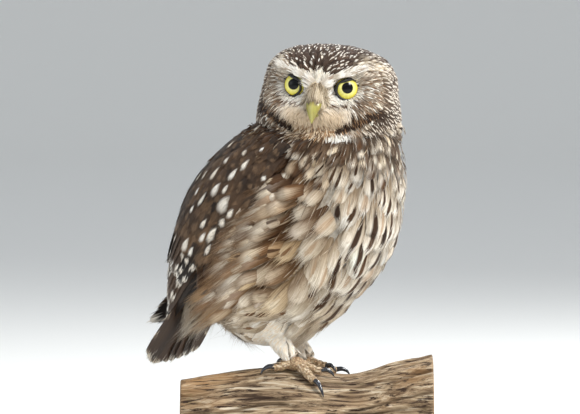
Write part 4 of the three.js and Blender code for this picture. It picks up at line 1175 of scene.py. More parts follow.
# Head plumage: short, dense and finely flecked over the crown, streaked on the sides, and stiff and
# hair-like in the facial disc, where it spreads from the eyes and bill. Long bristles arch over the
# base of the bill. All of it is laid over the same skin as the body's feathers.
def face_share(head):
    """1 on the facial disc: under the brows and inside the rim."""
    across, z = np.abs(head[:, 0]), head[:, 2]
    under_brow = fade(3.6, 5.4, z - 0.33 * np.minimum(across, 26))
    in_rim = fade(20, 23, np.hypot(across - 14, (z + 3) * 0.92))
    return under_brow * np.maximum(in_rim * smooth(12, 17, -head[:, 1]), chin_share(head) * fade(-14, -10, z))


def head_look(roots, draw):
    """Fine pale flecks over the brown crown, streaks at the sides and a pale collar."""
    head, count = to_head(roots), len(roots)
    across, z = np.abs(head[:, 0]), head[:, 2]
    chance, patch = draw.random(count), drift(roots, 7, 33)
    crown = smooth(0, 3, z - (4.2 + 0.33 * np.minimum(across, 26)))
    nape = smooth(8, 18, head[:, 1])
    grey = mixed(swatch(66, 53, 44), swatch(122, 105, 90), 0.5 + 0.5 * patch)
    mark = mixed(WHITE, BUFF, 0.5 * draw.random(count)) * (1 - 0.25 * draw.random((count, 1)))
    place = draw.normal(0, 0.15, count), 0.82 + draw.normal(0, 0.05, count), ONCE
    along, wide = mixed([0.62], [0.25], crown)[:, 0], mixed([0.34], [0.36], crown)[:, 0]
    mark = mixed(mark, swatch(206, 195, 180), 0.6 * (1 - crown))
    size = rows_of(count, along * draw.uniform(0.5, 1.2, count), wide * draw.uniform(0.5, 1.2, count), 0.0)
    bare = draw.random(count) > 0.94 - 0.3 * crown
    size[bare, :2] = 0.01
    false_brow = nape * hump(z + 8 - 0.25 * across, 6)
    brow_side = smooth(16, 24, across) * hump(z - 13, 5) * fade(-12, 4, head[:, 1])
    band = band_share(head)
    size[:, :2] *= (1 - 0.85 * band)[:, None]
    collar = fade(-34, -29, z) * smooth(0, 14, -head[:, 1])
    ground = toned(
        grey, (mixed(swatch(58, 45, 38), swatch(88, 70, 58), chance), np.maximum(crown, 0.4 * nape)),
        (WHITE, 0.85 * false_brow * (chance < 0.8)), (CREAM, 0.6 * brow_side * (chance < 0.6)),
        (mixed(BLACKISH, DARK, chance), band), (CREAM, 0.75 * collar * (chance < 0.7)))
    tone = 1 + draw.normal(0, 0.09, (count, 1))
    return worn(ground * tone, mark * tone, place, size.T)


def face_look(roots, draw):
    """The disc's tones: pale chin and brow, a white ring and brown arcs round each eye."""
    head, count = to_head(roots), len(roots)
    across, z = np.abs(head[:, 0]), head[:, 2]
    chance, second = draw.random(count), draw.random(count)
    eye_away, below = np.hypot(across - EYE_SPOT[0], z), np.arctan2(-z, across - EYE_SPOT[0])
    chin = fade(-18, -10, z) * fade(14, 26, across)
    under_chin = fade(-27.5, -25.5, z)
    beside = smooth(19, 25, across) * fade(0, 5, z - 0.3 * across)
    brow = hump(z - 1.6 - 0.33 * across, 2.8) * smooth(0.5, 4, across)
    lore = bell(across - 7.2, z + 5.5, 2.2, 3.2)
    middle = bell(head[:, 0] + 0.8, z + 4.4, 1.7, 2.4)
    white_ring = hump(eye_away - 9, 2.2) * smooth(-0.6, 0.2, below)
    arcs = hump(eye_away - 13.5 - 1.5 * np.sin(3 * below), 1.6) * smooth(0.35, 0.8, below) * fade(2.4, 2.8, below)
    chin_line = bell(head[:, 0] - 1, z + 25.4 - 0.012 * head[:, 0] ** 2 + 0.7 * np.sin(0.9 * head[:, 0]), 12, 0.9)
    ground = toned(
        mixed(WHITE, CREAM, 0.7 * draw.random(count)), (swatch(204, 181, 150), 0.85 * chin),
        (mixed(TAWNY, UMBER, second), under_chin * (chance < 0.55)),
        (WHITE, smooth(0.2, 0.7, throat_share(head))),
        (mixed(swatch(92, 74, 60), swatch(180, 166, 148), draw.random(count)), beside * (chance < 0.82)),
        (swatch(208, 197, 182), brow), (swatch(140, 120, 96), lore * (chance < 0.5)),
        (swatch(124, 106, 84), 0.8 * middle * (chance < 0.6)), (WHITE, 0.8 * white_ring),
        (mixed(UMBER, DARK, 0.5 * chance), arcs * (chance < 0.58)),
        (mixed(BLACKISH, DARK, chance), smooth(0.2, 0.7, band_share(head))),
        (mixed(UMBER, TAWNY, second), 0.9 * chin_line * (second < 0.8)))
    tipped = draw.random(count) < 0.03 + 0.2 * beside
    mark = np.where(tipped[:, None], BROWN, ground * 1.06)
    tone = 1 + draw.normal(0, 0.05, (count, 1))
    return worn(np.minimum(ground * tone, 0.9), np.minimum(mark * tone, 0.9), (0.0, 0.95, ONCE), (0.3, 1.2, 0.0))


def head_gap(points):
    """Gap between head feathers, a little wider at the back of the head."""
    head = to_head(points)
    return 1.5 + 0.6 * smooth(-2, 18, head[:, 1]) * fade(6, 18, head[:, 2]) + 0.3 * fade(-30, -18, head[:, 2])


def on_head(points):
    """Where head feathers root: above the neck and off the facial disc."""
    return (to_owl(points)[:, 2] > 150) * (face_share(to_head(points)) < 0.6)


def on_face(points):
    """Where the disc's feathers root, clear of the eyes."""
    head = to_head(points)
    eye_away = np.hypot(np.abs(head[:, 0]) - EYE_SPOT[0] + 1.2, head[:, 2])
    return (to_owl(points)[:, 2] > 142) * (face_share(head) > 0.4) * (eye_away > 6.2)


FLECK = feather_shape([(0, 0.25), (0.3, 0.8), (0.6, 1), (0.85, 0.7), (0.95, 0.4)], 2, [0, 0.3, 0.6, 0.85, 0.95],
                      15, 0.4, 0.26, 0.65)
HAIR = feather_shape([(0, 0.4), (0.4, 1), (0.8, 0.6), (0.95, 0.3)], 2, [0, 0.35, 0.7, 0.95], 8, 0.3, 0.3, 0.8)

short_plume = feather_finish("short_head_feathers", 3.0, 0.3, 0.5, 0.8, True, Roughness=0.8, Sheen_Weight=0.15,
                             Sheen_Roughness=0.5, Specular_IOR_Level=0.15)
fine_plume = feather_finish("fine_face_feathers", 2.0, 0.14, 0.78, 0.95, True, Roughness=0.85, Sheen_Weight=0.15,
                            Sheen_Roughness=0.5, Specular_IOR_Level=0.1)
head_draw = np.random.default_rng(17)
head_roots = scattered(on_head, head_gap, 19)
head_scale = head_gap(head_roots) / 1.5 * head_draw.uniform(0.9, 1.12, len(head_roots))
head_lengths = 7.0 * head_scale**0.8
head_path, head_ups = combed(head_roots, head_lengths, 3, waver=0.16, seed=4)
head_size = {"half": 1.5 * head_scale,
             "lift": 2.0 * head_scale**0.6 * head_draw.uniform(0.85, 1.2, len(head_roots)),
             "bow": 0.3, "root": 0.15, "stray": 0.8}
even = unkinked(head_path, head_lengths)
plumage("head_feathers", FLECK, *chosen(even, head_path, head_ups, head_size,
                                        head_look(head_path[:, -2], head_draw)),
        short_plume, "plumage", 6)

face_draw = np.random.default_rng(27)
face_roots = scattered(on_face, lambda points: 0.64 + 0 * points[:, 0], 29)
face_head = to_head(face_roots)
face_eye = np.hypot(np.abs(face_head[:, 0]) - EYE_SPOT[0] + 1.2, face_head[:, 2])
face_lengths = 5.2 * smooth(3, 14, face_eye) + 1.6
face_path, face_ups = combed(face_roots, face_lengths, 3, waver=0.14, seed=5)
face_size = {"half": 0.36 + 0.16 * smooth(10, 24, face_eye),
             "lift": 1.0 * face_draw.uniform(0.75, 1.3, len(face_roots)),
             "bow": 0.12, "root": 0.1, "stray": 0.6}
plumage("face_feathers", HAIR, face_path, face_ups, face_size, face_look(face_path[:, -1], face_draw), fine_plume,
        "plumage", 8)

# The brows: stiff white feathers on the ridge over each eye, whose lower edge shades the eye.
brow_draw = np.random.default_rng(31)
brow_count = 760
brow_side = np.where(np.arange(brow_count) % 2, 1.0, -1.0)
brow_share, brow_row = brow_draw.random(brow_count), brow_draw.random(brow_count)
brow_x = 2.6 + 23 * brow_share
brow_roots = rows_of(brow_count, brow_side * brow_x, -40.0, 1.2 + 0.33 * brow_x + 4.6 * (brow_row - 0.5))
brow_roots = on_skin(from_head(brow_roots))[0]
brow_up = ways_from_head(unit(rows_of(brow_count, 0.35 * brow_side, -1.0, -0.1 + 0.6 * brow_row)))
brow_way = unit(rows_of(brow_count, brow_side * 0.92, -0.1, 0.36 + brow_draw.normal(0, 0.12, brow_count)))
brow_long = brow_draw.uniform(5.0, 8.5, brow_count)
share = steps_along(4)
brow_bend = np.array([0, 2.2, 0.6])
brow_path = (to_head(brow_roots)[:, None] + brow_way[:, None] * brow_long[:, None, None] * share
             + brow_bend * share**2)
brow_look = worn(varied(mixed(swatch(212, 202, 188), swatch(194, 181, 163), brow_share),
                        brow_draw, brow_count, 0.05),
                 varied(mixed(WHITE, BROWN, (brow_draw.random(brow_count) < 0.12) * 0.8),
                        brow_draw, brow_count, 0.05),
                 (0.0, 0.95, ONCE), (0.3, 1.0, 0.0))
plumage("brow_feathers", HAIR, from_head(brow_path), brow_up,
        {"half": 0.48, "lift": 1.2, "bow": 0.1, "root": 0.7, "stray": 0.7}, brow_look, fine_plume, "plumage", 32)

# Bristles: those round the bill's root lie down over its soft base and part along its ridge, and
# longer ones stand out at its sides.
BRISTLE = feather_shape([(0, 1), (0.5, 0.7), (1.0, 0.12)], 2, [0, 0.2, 0.4, 0.6, 0.8, 1.0], 2, 0.9, 0.05, 0.9)
bristle_draw = np.random.default_rng(37)
bristle_count, lying = 900, 560
turn = bristle_draw.uniform(-1, 1, bristle_count)
wide, low = np.sin(turn * 1.45), 1 - np.cos(turn * 1.45)
depth = bristle_draw.random(bristle_count)
bristle_roots = rows_of(bristle_count, (3.2 + 4.2 * depth) * wide * 1.15, -33.0,
                        0.5 + 3.5 * depth - (9.5 + 3 * depth) * low)
bristle_roots = to_head(on_skin(from_head(bristle_roots))[0])
end_x = (4.4 + 2.4 * depth**2) * wide + bristle_draw.normal(0, 0.35, bristle_count)
end_z = -7.0 - 9.2 * low - bristle_draw.gamma(1.6, 0.75, bristle_count)
ridge_y = np.interp(-end_z, [4.4, 5.2, 9, 14.4, 21.6], [-33, -36.2, -40.4, -41.9, -40.6])
bristle_ends = np.column_stack([end_x, ridge_y + 3.6 * (end_x / 4.8) ** 2 - 0.7, end_z])
standing = np.arange(bristle_count) >= lying
out_way = unit(rows_of(bristle_count, 0.55 * np.sign(wide), -0.55, -0.75)
               + bristle_draw.normal(0, 0.15, (bristle_count, 3)))
out_ends = bristle_roots + out_way * bristle_draw.uniform(4, 8, bristle_count)[:, None]
bristle_ends[standing] = out_ends[standing]
share = steps_along(6)
arch = rows_of(bristle_count, 0.3 * np.sign(wide), -1.3, 0.6)
bristle_path = (bristle_roots[:, None] * (1 - share) + bristle_ends[:, None] * share
                + arch[:, None] * np.sin(share * np.pi))
bristle_up = unit(rows_of(bristle_count, wide * 0.8, -1.0, 0.3 - 0.3 * low))
dusky = (np.abs(wide) < 0.3) * (bristle_draw.random(bristle_count) < 0.3)
bristle_tone = mixed(swatch(224, 211, 188), swatch(182, 164, 136), bristle_draw.random(bristle_count))
bristle_tone[dusky] = mixed(swatch(98, 80, 62), swatch(158, 138, 110), bristle_draw.random(bristle_count))[dusky]
bristle_look = worn(varied(bristle_tone, bristle_draw, bristle_count, 0.08),
                    np.tile(swatch(128, 112, 90), (bristle_count, 1)),
                    (0.0, 1.05, ONCE), (bristle_draw.uniform(0.05, 0.45, bristle_count), 0.6, 0.0))
plumage("bill_bristles", BRISTLE, from_head(bristle_path), ways_from_head(bristle_up),
        {"half": 0.24, "stray": 0.0}, bristle_look, fine_plume, "plumage", 9)

# The skin as one piece, toned like the plumage over each place and darkened to three quarters of it:
# painted shade in the gaps between feathers.
skin_tones = trunk_look(skin_points, np.random.default_rng(3))["ground"]
headed = to_owl(skin_points)[:, 2] > 150
skin_tones[headed] = head_look(skin_points[headed], np.random.default_rng(3))["ground"]
faced = headed & (face_share(to_head(skin_points)) > 0.5)
skin_tones[faced] = face_look(skin_points[faced], np.random.default_rng(3))["ground"]
skin_shell = piece("plumage_skin", skin_points, skin_quads, skin_ground, "plumage",
                   # The plumage tones are darkened to three quarters here as painted shade between the feathers.
                   ["head", "neck", "torso", "leg_left", "leg_right"], {"ground": skin_tones * 0.75})
skin_shell.data.uv_layers.new(name="OFBake").data.foreach_set(
    "uv", unwrapped(skin_points)[skin_quads.ravel()].astype(np.float32).ravel())

# Wings: folded over the flanks, in tiers like tiles: long stiff primaries and secondaries, and over
# their roots the greater, median and lesser coverts. Each is one firm vane with a drop of white near
# its tip or rows of pale spots on its outer web. The left wing is held a little looser.
WING_LINES = {"lower": [(42.5, -9, 139), (47.5, 11, 113), (46.5, 38, 83), (32, 72, 47), (14, 104, 30)],
              "middle": [(28, 19, 147.5), (35, 41, 130), (37, 63, 103), (31, 83, 74), (12, 106, 36)],
              "upper": [(13, 25, 150.5), (10, 56, 134), (9, 82.5, 108), (8, 94, 78), (6, 108, 40)]}
WINGS = [{"name": "right", "side": -1, "drop": (0, 0, 0), "reach": 1.0},
         {"name": "left", "side": 1, "drop": (-16, 23, -4), "reach": 0.99}]
# Count, then in pairs for the feather at the lower edge and the one at the back: its start and end
# across the wing, its root and tip along it, and its height; then width, how far the root sinks, roll.
WING_TIERS = [
    ("primaries", 9, (0.05, 0.30), (0.12, 0.62), (0.42, 0.50), (0.985, 0.86), (-2.4, 1.6), 10.5, 0, 0.35),
    ("secondaries", 9, (0.12, 0.92), (0.20, 0.88), (0.40, 0.44), (0.76, 0.82), (2.6, 3.0), 13.5, 3.4, 0.8),
]
# Rows of coverts from the shoulder down: where their tips lie along the wing, and each row's kind.
COVERT_ROWS = [(0.075, "lesser"), (0.115, "lesser"), (0.155, "lesser"), (0.195, "lesser"), (0.235, "lesser"),
               (0.275, "lesser"), (0.32, "lesser"), (0.365, "median"), (0.41, "median"), (0.455, "median"),
               (0.505, "greater"), (0.56, "greater"), (0.61, "greater")]
COVERTS = {"lesser": {"long": 0.13, "wide": 9.5, "count": 13},
           "median": {"long": 0.16, "wide": 11.0, "count": 12},
           "greater": {"long": 0.2, "wide": 12.0, "count": 11}}
# White drops on the right wing: place across the view and up in the part's frame, length and width.
DROPS = [(-44.8, 249.8, 5.5, 3.0), (-36.4, 245.6, 4.6, 3.0), (-26.2, 247.4, 4.0, 2.4), (-47.2, 240.8, 5.0, 3.0),
         (-36.4, 238.4, 7.8, 3.6), (-55.0, 233.0, 8.4, 3.2), (-61.0, 231.8, 5.5, 2.6), (-43.6, 233.0, 7.6, 3.4),
         (-64.6, 230.6, 6.5, 2.4), (-54.4, 224.0, 7.8, 4.6), (-48.4, 224.0, 5.0, 2.8), (-62.8, 218.0, 9.0, 3.0),
         (-49.6, 215.0, 9.2, 7.0), (-62.2, 203.6, 5.5, 3.2), (-50.8, 204.8, 5.0, 4.2), (-44.8, 209.6, 5.5, 3.6),
         (-56.8, 196.4, 8.4, 5.0), (-25.0, 231.2, 3.6, 3.0), (-62.2, 195.2, 5.5, 3.0), (-69.0, 212.0, 5.0, 2.6),
         (-59.0, 188.0, 5.4, 2.8), (-66.0, 222.0, 5.0, 2.4), (-73.5, 190.5, 7.4, 4.4), (-70.0, 186.0, 5.5, 3.2)]
WING_UMBER, WING_DARK = swatch(86, 65, 47), swatch(44, 32, 23)


def between(pair, share):
    """A value at a share of the way from the first of a pair to the second."""
    return pair[0] + (pair[1] - pair[0]) * share


def wing_place(wing, s, t, height):
    """Points over a folded wing, s across it from the lower edge to the back, t from shoulder to tip."""
    def surface(s, t):
        """A place on the wing's outer face, at shares along and across it."""
        edges = []
        for line in WING_LINES.values():
            knots = np.array(line, float)
            late = (np.arange(len(knots)) / (len(knots) - 1)) ** 3
            knots = knots + late[:, None] * np.array(wing["drop"])
            edges.append(through(knots * (wing["side"], 1, 1), t))
        low, middle, high = edges
        s = s[..., None]
        return low * (1 - s) ** 2 + (2 * middle - 0.5 * low - 0.5 * high) * 2 * s * (1 - s) + high * s * s
    late = np.minimum(t, 0.99)
    along = surface(s, late + 0.01) - surface(s, late)
    across = surface(s + 0.01, late) - surface(s, late)
    normal = unit(np.cross(along, across)) * wing["side"]
    return surface(s, t) + normal * height[..., None], normal, across


VANE = feather_shape([(0, 0.5), (0.2, 0.9), (0.5, 1), (0.75, 0.96), (0.88, 0.9), (0.95, 0.72), (0.985, 0.46),
                      (1, 0.2)], 6,
                     [0, 0.1, 0.25, 0.4, 0.55, 0.68, 0.8, 0.88, 0.93, 0.965, 0.985, 1.0], 40, 0.5, 0.007, 0.55)
COVERT = feather_shape([(0, 0.6), (0.3, 0.95), (0.6, 1), (0.8, 0.9), (0.9, 0.7), (0.96, 0.42)], 6,
                       [0, 0.2, 0.4, 0.6, 0.75, 0.86, 0.93, 0.96], 56, 0.35, 0.1, 0.88, 30)
firm_vane = feather_finish("firm_wing_vanes", 14.0, 0.34, 0.55, 0.85, Roughness=0.6, Sheen_Weight=0.08,
                           Specular_IOR_Level=0.2)


def flight_look(count, draw):
    """Dark brown webs with rows of pale spots along one edge and a thin worn fringe, near black toward the
    wing's lower edge: in part their own dark brown, in part painted shadow.
    """
    web = draw.choice([-1.0, 1.0], count)
    # Painted shadow: feathers nearer the wing's lower edge are darker, for the shadow between wing and flank; in
    # part also the primaries' own darker brown.
    back = smooth(0.15, 0.45, np.linspace(0, 1, count) + draw.normal(0, 0.06, count))
    return worn(varied(mixed(swatch(28, 20, 14), swatch(78, 58, 41), back), draw, count, 0.08),
                varied(mixed(WHITE, BUFF, 0.35 * draw.random(count)), draw, count, 0.05),
                (0.72 * web, 0.9, draw.uniform(0.15, 0.2, count)), (0.035, draw.uniform(0.3, 0.5, count), 0.965))


def covert_look(path, half, draw, drops=()):
    """Umber feathers with faint paler edges, and a white drop on those that lie nearest each place listed."""
    count = len(path)
    shade = drift(path[:, -1], 9, 61)
    ground = mixed(WING_UMBER, WING_DARK, np.clip(0.4 + 0.5 * shade + draw.normal(0, 0.3, count), 0, 1))
    ground = mixed(ground, swatch(126, 98, 70), 0.5 * (draw.random(count) < 0.22))
    mark = mixed(ground, swatch(136, 108, 80), 0.45)
    place = rows_of(count, draw.normal(0, 0.4, count), 0.9, ONCE)
    size = rows_of(count, draw.uniform(0.08, 0.16, count), draw.uniform(0.3, 0.7, count), 0.0)
    long = np.linalg.norm(path[:, -1] - path[:, 0], axis=1)
    for x, z, drop_long, drop_wide in drops:
        near = int(np.hypot(path[:, -1, 0] - x, path[:, -1, 2] - z).argmin())
        mark[near], place[near, :2] = mixed(WHITE, CREAM, draw.random()), (0, 0.86)
        size[near, :2] = 0.5 * drop_long / long[near], 0.5 * drop_wide / half[near]
    return worn(varied(ground, draw, count, 0.08), mark, place.T, size.T)


def laid_on_wing(wing, s, t, height):
    """Paths over a wing in the part's frame, the way up from it, and which side of a feather lies backward."""
    places, normals, across = wing_place(wing, s, t, height)
    path, ups = from_owl(places), normals @ OWL_TURN.T
    lean = np.sign((np.cross(np.gradient(path, axis=1), ups) * (across @ OWL_TURN.T)).sum(2)[:, s.shape[1] // 2])
    return path, ups, lean


# Where across and along the wing each listed drop lies, from its place in the part's frame.
WING_REACH = 150.0
grid_s, grid_t = (g.ravel() for g in np.meshgrid(np.linspace(0.0, 1, 90), np.linspace(0.02, 0.85, 160)))
grid_places = from_owl(wing_place(WINGS[0], grid_s, grid_t, 0 * grid_s + 5.0)[0])
nearest = [int(np.hypot(grid_places[:, 0] - x, grid_places[:, 2] - z).argmin()) for x, z, *_ in DROPS]
DROP_S, DROP_T = grid_s[nearest], grid_t[nearest]

v = np.linspace(0, 1, 8)[None]
for wing in WINGS:
    wing_draw = np.random.default_rng(50 + wing["side"])
    for tier, (label, count, starts, ends, roots, tips, heights, width, sink, roll) in enumerate(WING_TIERS):
        u = np.linspace(0, 1, count)[:, None]
        tip = between(tips, u) + 0.008 * wing_draw.normal(0, 1, (count, 1))
        t = between(roots, u) + (tip * wing["reach"] - between(roots, u)) * v
        s = between(starts, u) + (between(ends, u) - between(starts, u)) * v
        height = between(heights, u) - sink * fade(0, 0.3, v) - 0.4 * smooth(0.6, 1, v)
        path, ups, lean = laid_on_wing(wing, s, t, height)
        size = {"half": width / 2 * wing_draw.uniform(0.94, 1.06, count), "bow": 0.5, "roll": roll * lean,
                "stray": 0.5, "curl": -0.2}
        layout = rows_of(count, 0.1 + 0.8 * s[:, 0], 0.05 + 0.12 * tier + 0.04 * (np.arange(count) % 2))
        plumage(f"wing_{wing['name']}_{label}", VANE, path, ups, size, flight_look(count, wing_draw),
                firm_vane, "wing", 60 + tier, [f"wing_{wing['name']}"] if tier == 0 else (), layout)

    s_all, t_all, half = [], [], []
    for row, (tip_row, kind) in enumerate(COVERT_ROWS):
        kind = COVERTS[kind]
        count = kind["count"]
        start = (np.arange(count) + 0.25 + 0.5 * (row % 2) + wing_draw.uniform(-0.28, 0.28, count)) / count
        tip = tip_row + 0.05 * start * tip_row / 0.6 + wing_draw.normal(0, 0.011, count)
        s_all.append(0.01 + 0.98 * start[:, None] + 0.02 * v * wing_draw.normal(0, 1, (count, 1)))
        t_all.append(tip[:, None] + kind["long"] * wing_draw.uniform(0.9, 1.1, (count, 1)) * (v - 1))
        half.append(kind["wide"] / 2 * wing_draw.uniform(0.85, 1.15, count))
    s, t, half = np.vstack(s_all), np.vstack(t_all), np.concatenate(half)
    level = np.interp(t[:, -1:], [0.07, 0.3, 0.45, 0.65], [5.6, 5.0, 4.4, 3.7])
    path, ups, lean = laid_on_wing(wing, s, t, level - 3.2 * fade(0, 0.6, v) + 0.35 * v)
    size = {"half": half, "bow": 0.5, "roll": 0.25 * lean, "curl": wing_draw.normal(-0.3, 0.3, len(s))}
    layout = rows_of(len(s), 0.1 + 0.8 * s[:, 0], 0.4 + 0.5 * np.clip(t[:, -1], 0, 1))
    plumage(f"wing_{wing['name']}_coverts", COVERT, path, ups, size, covert_look(path, half, wing_draw),
            firm_vane, "wing", 66, (), layout)

    # Coverts that carry the white drops lie a little proud of their neighbours.
    drop_draw, count = np.random.default_rng(47), len(DROPS)
    drop_long, drop_wide = np.array(DROPS)[:, 2], np.array(DROPS)[:, 3]
    length = 0.13 + 0.004 * drop_long[:, None]
    middle = 0.86 - 0.25 * drop_long / (WING_REACH * length[:, 0])
    t = DROP_T[:, None] + length * (v - middle[:, None])
    s = DROP_S[:, None] + 0.015 * (v - 0.8)
    level = np.interp(t[:, -1:], [0.07, 0.3, 0.45, 0.65, 0.8], [6.5, 5.9, 5.3, 4.6, 4.1])
    path, ups, lean = laid_on_wing(wing, s, t, level - 4.0 * fade(0, 0.55, v))
    half = np.maximum(0.6 * drop_wide + 1.3, 3.3)
    look = covert_look(path, half, drop_draw)
    look["mark"] = varied(mixed(swatch(246, 243, 236), CREAM, 0.6 * drop_draw.random(count)),
                          drop_draw, count, 0.03)
    look["mark_place"] = rows_of(count, drop_draw.normal(0, 0.06, count), middle, ONCE)
    look["mark_size"] = rows_of(count, 0.5 * drop_long / (WING_REACH * length[:, 0]), 0.5 * drop_wide / half, 0.0)
    plumage(f"wing_{wing['name']}_drops", COVERT, path, ups,
            {"half": half, "bow": 0.9, "curl": drop_draw.normal(-0.6, 0.3, count)},
            look, firm_vane, "wing", 67, (),
            rows_of(count, 0.1 + 0.8 * s[:, 0], 0.05 + 0.9 * np.clip(t[:, -1], 0, 1)))

# Loose edges of the wings: long soft flank feathers that lap over the lower edge, scapulars over the
# edge at the back, and small feathers of the shoulder over the bend.
EDGES = [{"name": "flank_lap", "count": 100, "across": (-0.28, 0.42), "along": (0.1, 0.56), "run": (0.125, 0.115),
          "high": 6.0, "half": 4.0, "soft": True},
         {"name": "scapulars", "count": 60, "across": (1.12, 0.84), "along": (-0.04, 0.5), "run": (-0.08, 0.15),
          "high": 7.0, "half": 4.4, "soft": False},
         {"name": "shoulder", "count": 90, "across": (0.3, 1.0), "along": (-0.07, 0.02), "run": (0.0, 0.12),
          "high": 6.4, "half": 3.2, "soft": False}]
for wing in WINGS:
    for number, edge in enumerate(EDGES):
        edge_draw = np.random.default_rng(90 + 10 * number + wing["side"])
        count = edge["count"]
        v = np.linspace(0, 1, 6)[None]
        if edge["name"] == "shoulder":
            start_s = edge_draw.uniform(*edge["across"], (count, 1))
        else:
            start_s = (edge["across"][0] + 0.3 * (edge["across"][1] - edge["across"][0])
                       * edge_draw.random((count, 1)))
        start_t = (edge["along"][0] + (edge["along"][1] - edge["along"][0])
                   * (np.arange(count)[:, None] + edge_draw.random((count, 1))) / count)
        if edge["soft"]:
            start_s = start_s - 0.12 * smooth(0.25, 0.5, start_t)
        run_s, run_t = (run * edge_draw.uniform(0.75, 1.2, (count, 1)) for run in edge["run"])
        rise = (edge["high"] - 2.2 * start_t) * edge_draw.uniform(0.85, 1.05, (count, 1))
        path, ups, lean = laid_on_wing(wing, start_s + run_s * v, start_t + run_t * v**1.2,
                                       rise * smooth(-0.1, 0.5, v) - 0.5 * v**3)
        size = {"half": edge["half"] * edge_draw.uniform(0.8, 1.2, count), "bow": 1.6 if edge["soft"] else 0.9,
                "root": -0.2, "stray": 1.6,
                "curl": edge_draw.normal(0.0, 0.5, count), "loose": 2.0 if edge["soft"] else 1.2}
        if edge["soft"]:
            rooted, root_ups = (a.reshape(path.shape) for a in on_skin(path.reshape(-1, 3)))
            off_skin = smooth(0.1, 0.85, v)[..., None]
            path = rooted * (1 - off_skin) + path * off_skin
            ups = unit(root_ups * (1 - off_skin) + ups * off_skin)
            flank = rows_of(count, wing["side"] * 40.0, 0.0, to_owl(path[:, 0])[:, 2])
            look = trunk_look(from_owl(flank), edge_draw)
            look["mark"] = mixed(look["mark"], WHITE, 0.2 * edge_draw.random(count))
        else:
            look = covert_look(path, size["half"], edge_draw,
                               [(*path[k, -1, [0, 2]], 5.0, 3.0) for k in range(3, count, 8)])
        layout = rows_of(count, 0.05 + 0.9 * np.clip(start_t[:, 0], 0, 1), 0.94 - 0.02 * (np.arange(count) % 2))
        shape, finish = (PLUME, soft_plume) if edge["soft"] else (COVERT, firm_vane)
        plumage(f"{edge['name']}_{wing['name']}", shape, path, ups, size, look, finish, "plumage", 95 + number,
                (), layout)

# Tail: twelve straight, firm feathers that lie over one another from the middle pair outwards, barred
# above, greyer below, each with a worn white tip. Soft coverts close over their roots on both sides.
TAIL = {"place": (0, 72, 72), "long": 80, "pitch": 56, "roll": 4, "count": 12, "gaps": (2.6, 4.3), "wide": 11.2,
        "drop": 0.82}
turn_down = math.radians(-TAIL["pitch"])
TAIL_TURN = np.array([[1, 0, 0], [0, math.cos(turn_down), -math.sin(turn_down)],
                      [0, math.sin(turn_down), math.cos(turn_down)]]) @ turned("Y", TAIL["roll"])

tail_draw = np.random.default_rng(71)
k = (np.arange(TAIL["count"]) - (TAIL["count"] - 1) / 2)[:, None]
v = np.linspace(0, 1, 8)[None]
gap = between(TAIL["gaps"], v)
layer = np.abs(k) - 0.5 + (k < 0)
tail_flat = np.stack([k * gap, v * TAIL["long"] * (1 - 0.0035 * k * k) * np.cos(k * gap / 90),
                      -TAIL["drop"] * layer + 0 * v], -1)
tail_path = from_owl(tail_flat @ TAIL_TURN.T + TAIL["place"])
# Ways out of the tail's upper side and along it to the tip, in the owl's own axes.
tail_top, tail_axis = np.array([0, 0, 1.0]) @ TAIL_TURN.T, np.array([0, 1.0, 0]) @ TAIL_TURN.T
count = TAIL["count"]
tail_look = worn(varied(mixed(swatch(74, 50, 28), swatch(46, 31, 17), tail_draw.random(count)),
                        tail_draw, count, 0.08),
                 varied(mixed(WHITE, CREAM, tail_draw.random(count)), tail_draw, count, 0.04),
                 (0.9 * np.sign(k[:, 0]), 0.8, 0.19), (0.014, 0.5, 0.96))
RECTRIX = feather_shape([(0, 0.5), (0.3, 0.9), (0.6, 1), (0.86, 0.98), (0.93, 0.86), (0.97, 0.66), (0.99, 0.42),
                         (1, 0.2)], 6,
                        [0, 0.15, 0.3, 0.45, 0.6, 0.72, 0.82, 0.9, 0.94, 0.97, 0.99, 1.0], 44, 0.5, 0.006, 0.6)
plumage("tail_feathers", RECTRIX, tail_path, np.tile(tail_top @ OWL_TURN.T, (count, 1)),
        {"half": TAIL["wide"] / 2, "bow": 0.12, "stray": 0.2}, tail_look, firm_vane, "wing", 72, ["tail"],
        rows_of(count, np.linspace(0.1, 0.9, count), 0.92))


def near_tail(points):
    """Where the tail's coverts root: round the base of the tail."""
    owl = to_owl(points)
    off = owl - TAIL["place"]
    ahead = off @ tail_axis
    return (np.linalg.norm(off - ahead[:, None] * tail_axis, axis=1) < 17) * (ahead > -34) * (owl[:, 1] > 30)


covert_roots = scattered(near_tail, lambda points: 3.0 + 0 * points[:, 0], 77)
covert_draw = np.random.default_rng(78)
count = len(covert_roots)
side_of = np.sign((to_owl(covert_roots) - TAIL["place"]) @ tail_top)
covert_long = covert_draw.uniform(17, 27, count)
covert_way = tail_axis @ OWL_TURN.T
share = steps_along(5)
covert_path = covert_roots[:, None] + covert_way * covert_long[:, None, None] * share
keep_off = (TAIL["drop"] * 6 + 2.0) * side_of
to_plane = ((to_owl(covert_path) - TAIL["place"]) @ tail_top
            - (keep_off * np.where(side_of > 0, 0.4, 1.2))[:, None])
covert_path = covert_path - (to_plane * share[..., 0] ** 1.3)[..., None] * (tail_top @ OWL_TURN.T)
below = side_of < 0
tail_covert_look = worn(varied(np.where(below[:, None], swatch(206, 197, 182), UMBER), covert_draw, count, 0.1),
                        varied(np.where(below[:, None], swatch(120, 106, 90), BUFF), covert_draw, count, 0.1),
                        (covert_draw.normal(0, 0.1, count), 0.8, ONCE),
                        (covert_draw.uniform(0.08, 0.2, count), covert_draw.uniform(0.2, 0.5, count), 0.0))
plumage("tail_coverts", PLUME, covert_path, side_of[:, None] * (tail_top @ OWL_TURN.T),
        {"half": 3.6, "lift": 1.2, "bow": 0.5, "root": 0.3, "stray": 1.5, "loose": 1.5},
        tail_covert_look, soft_plume, "plumage", 79)

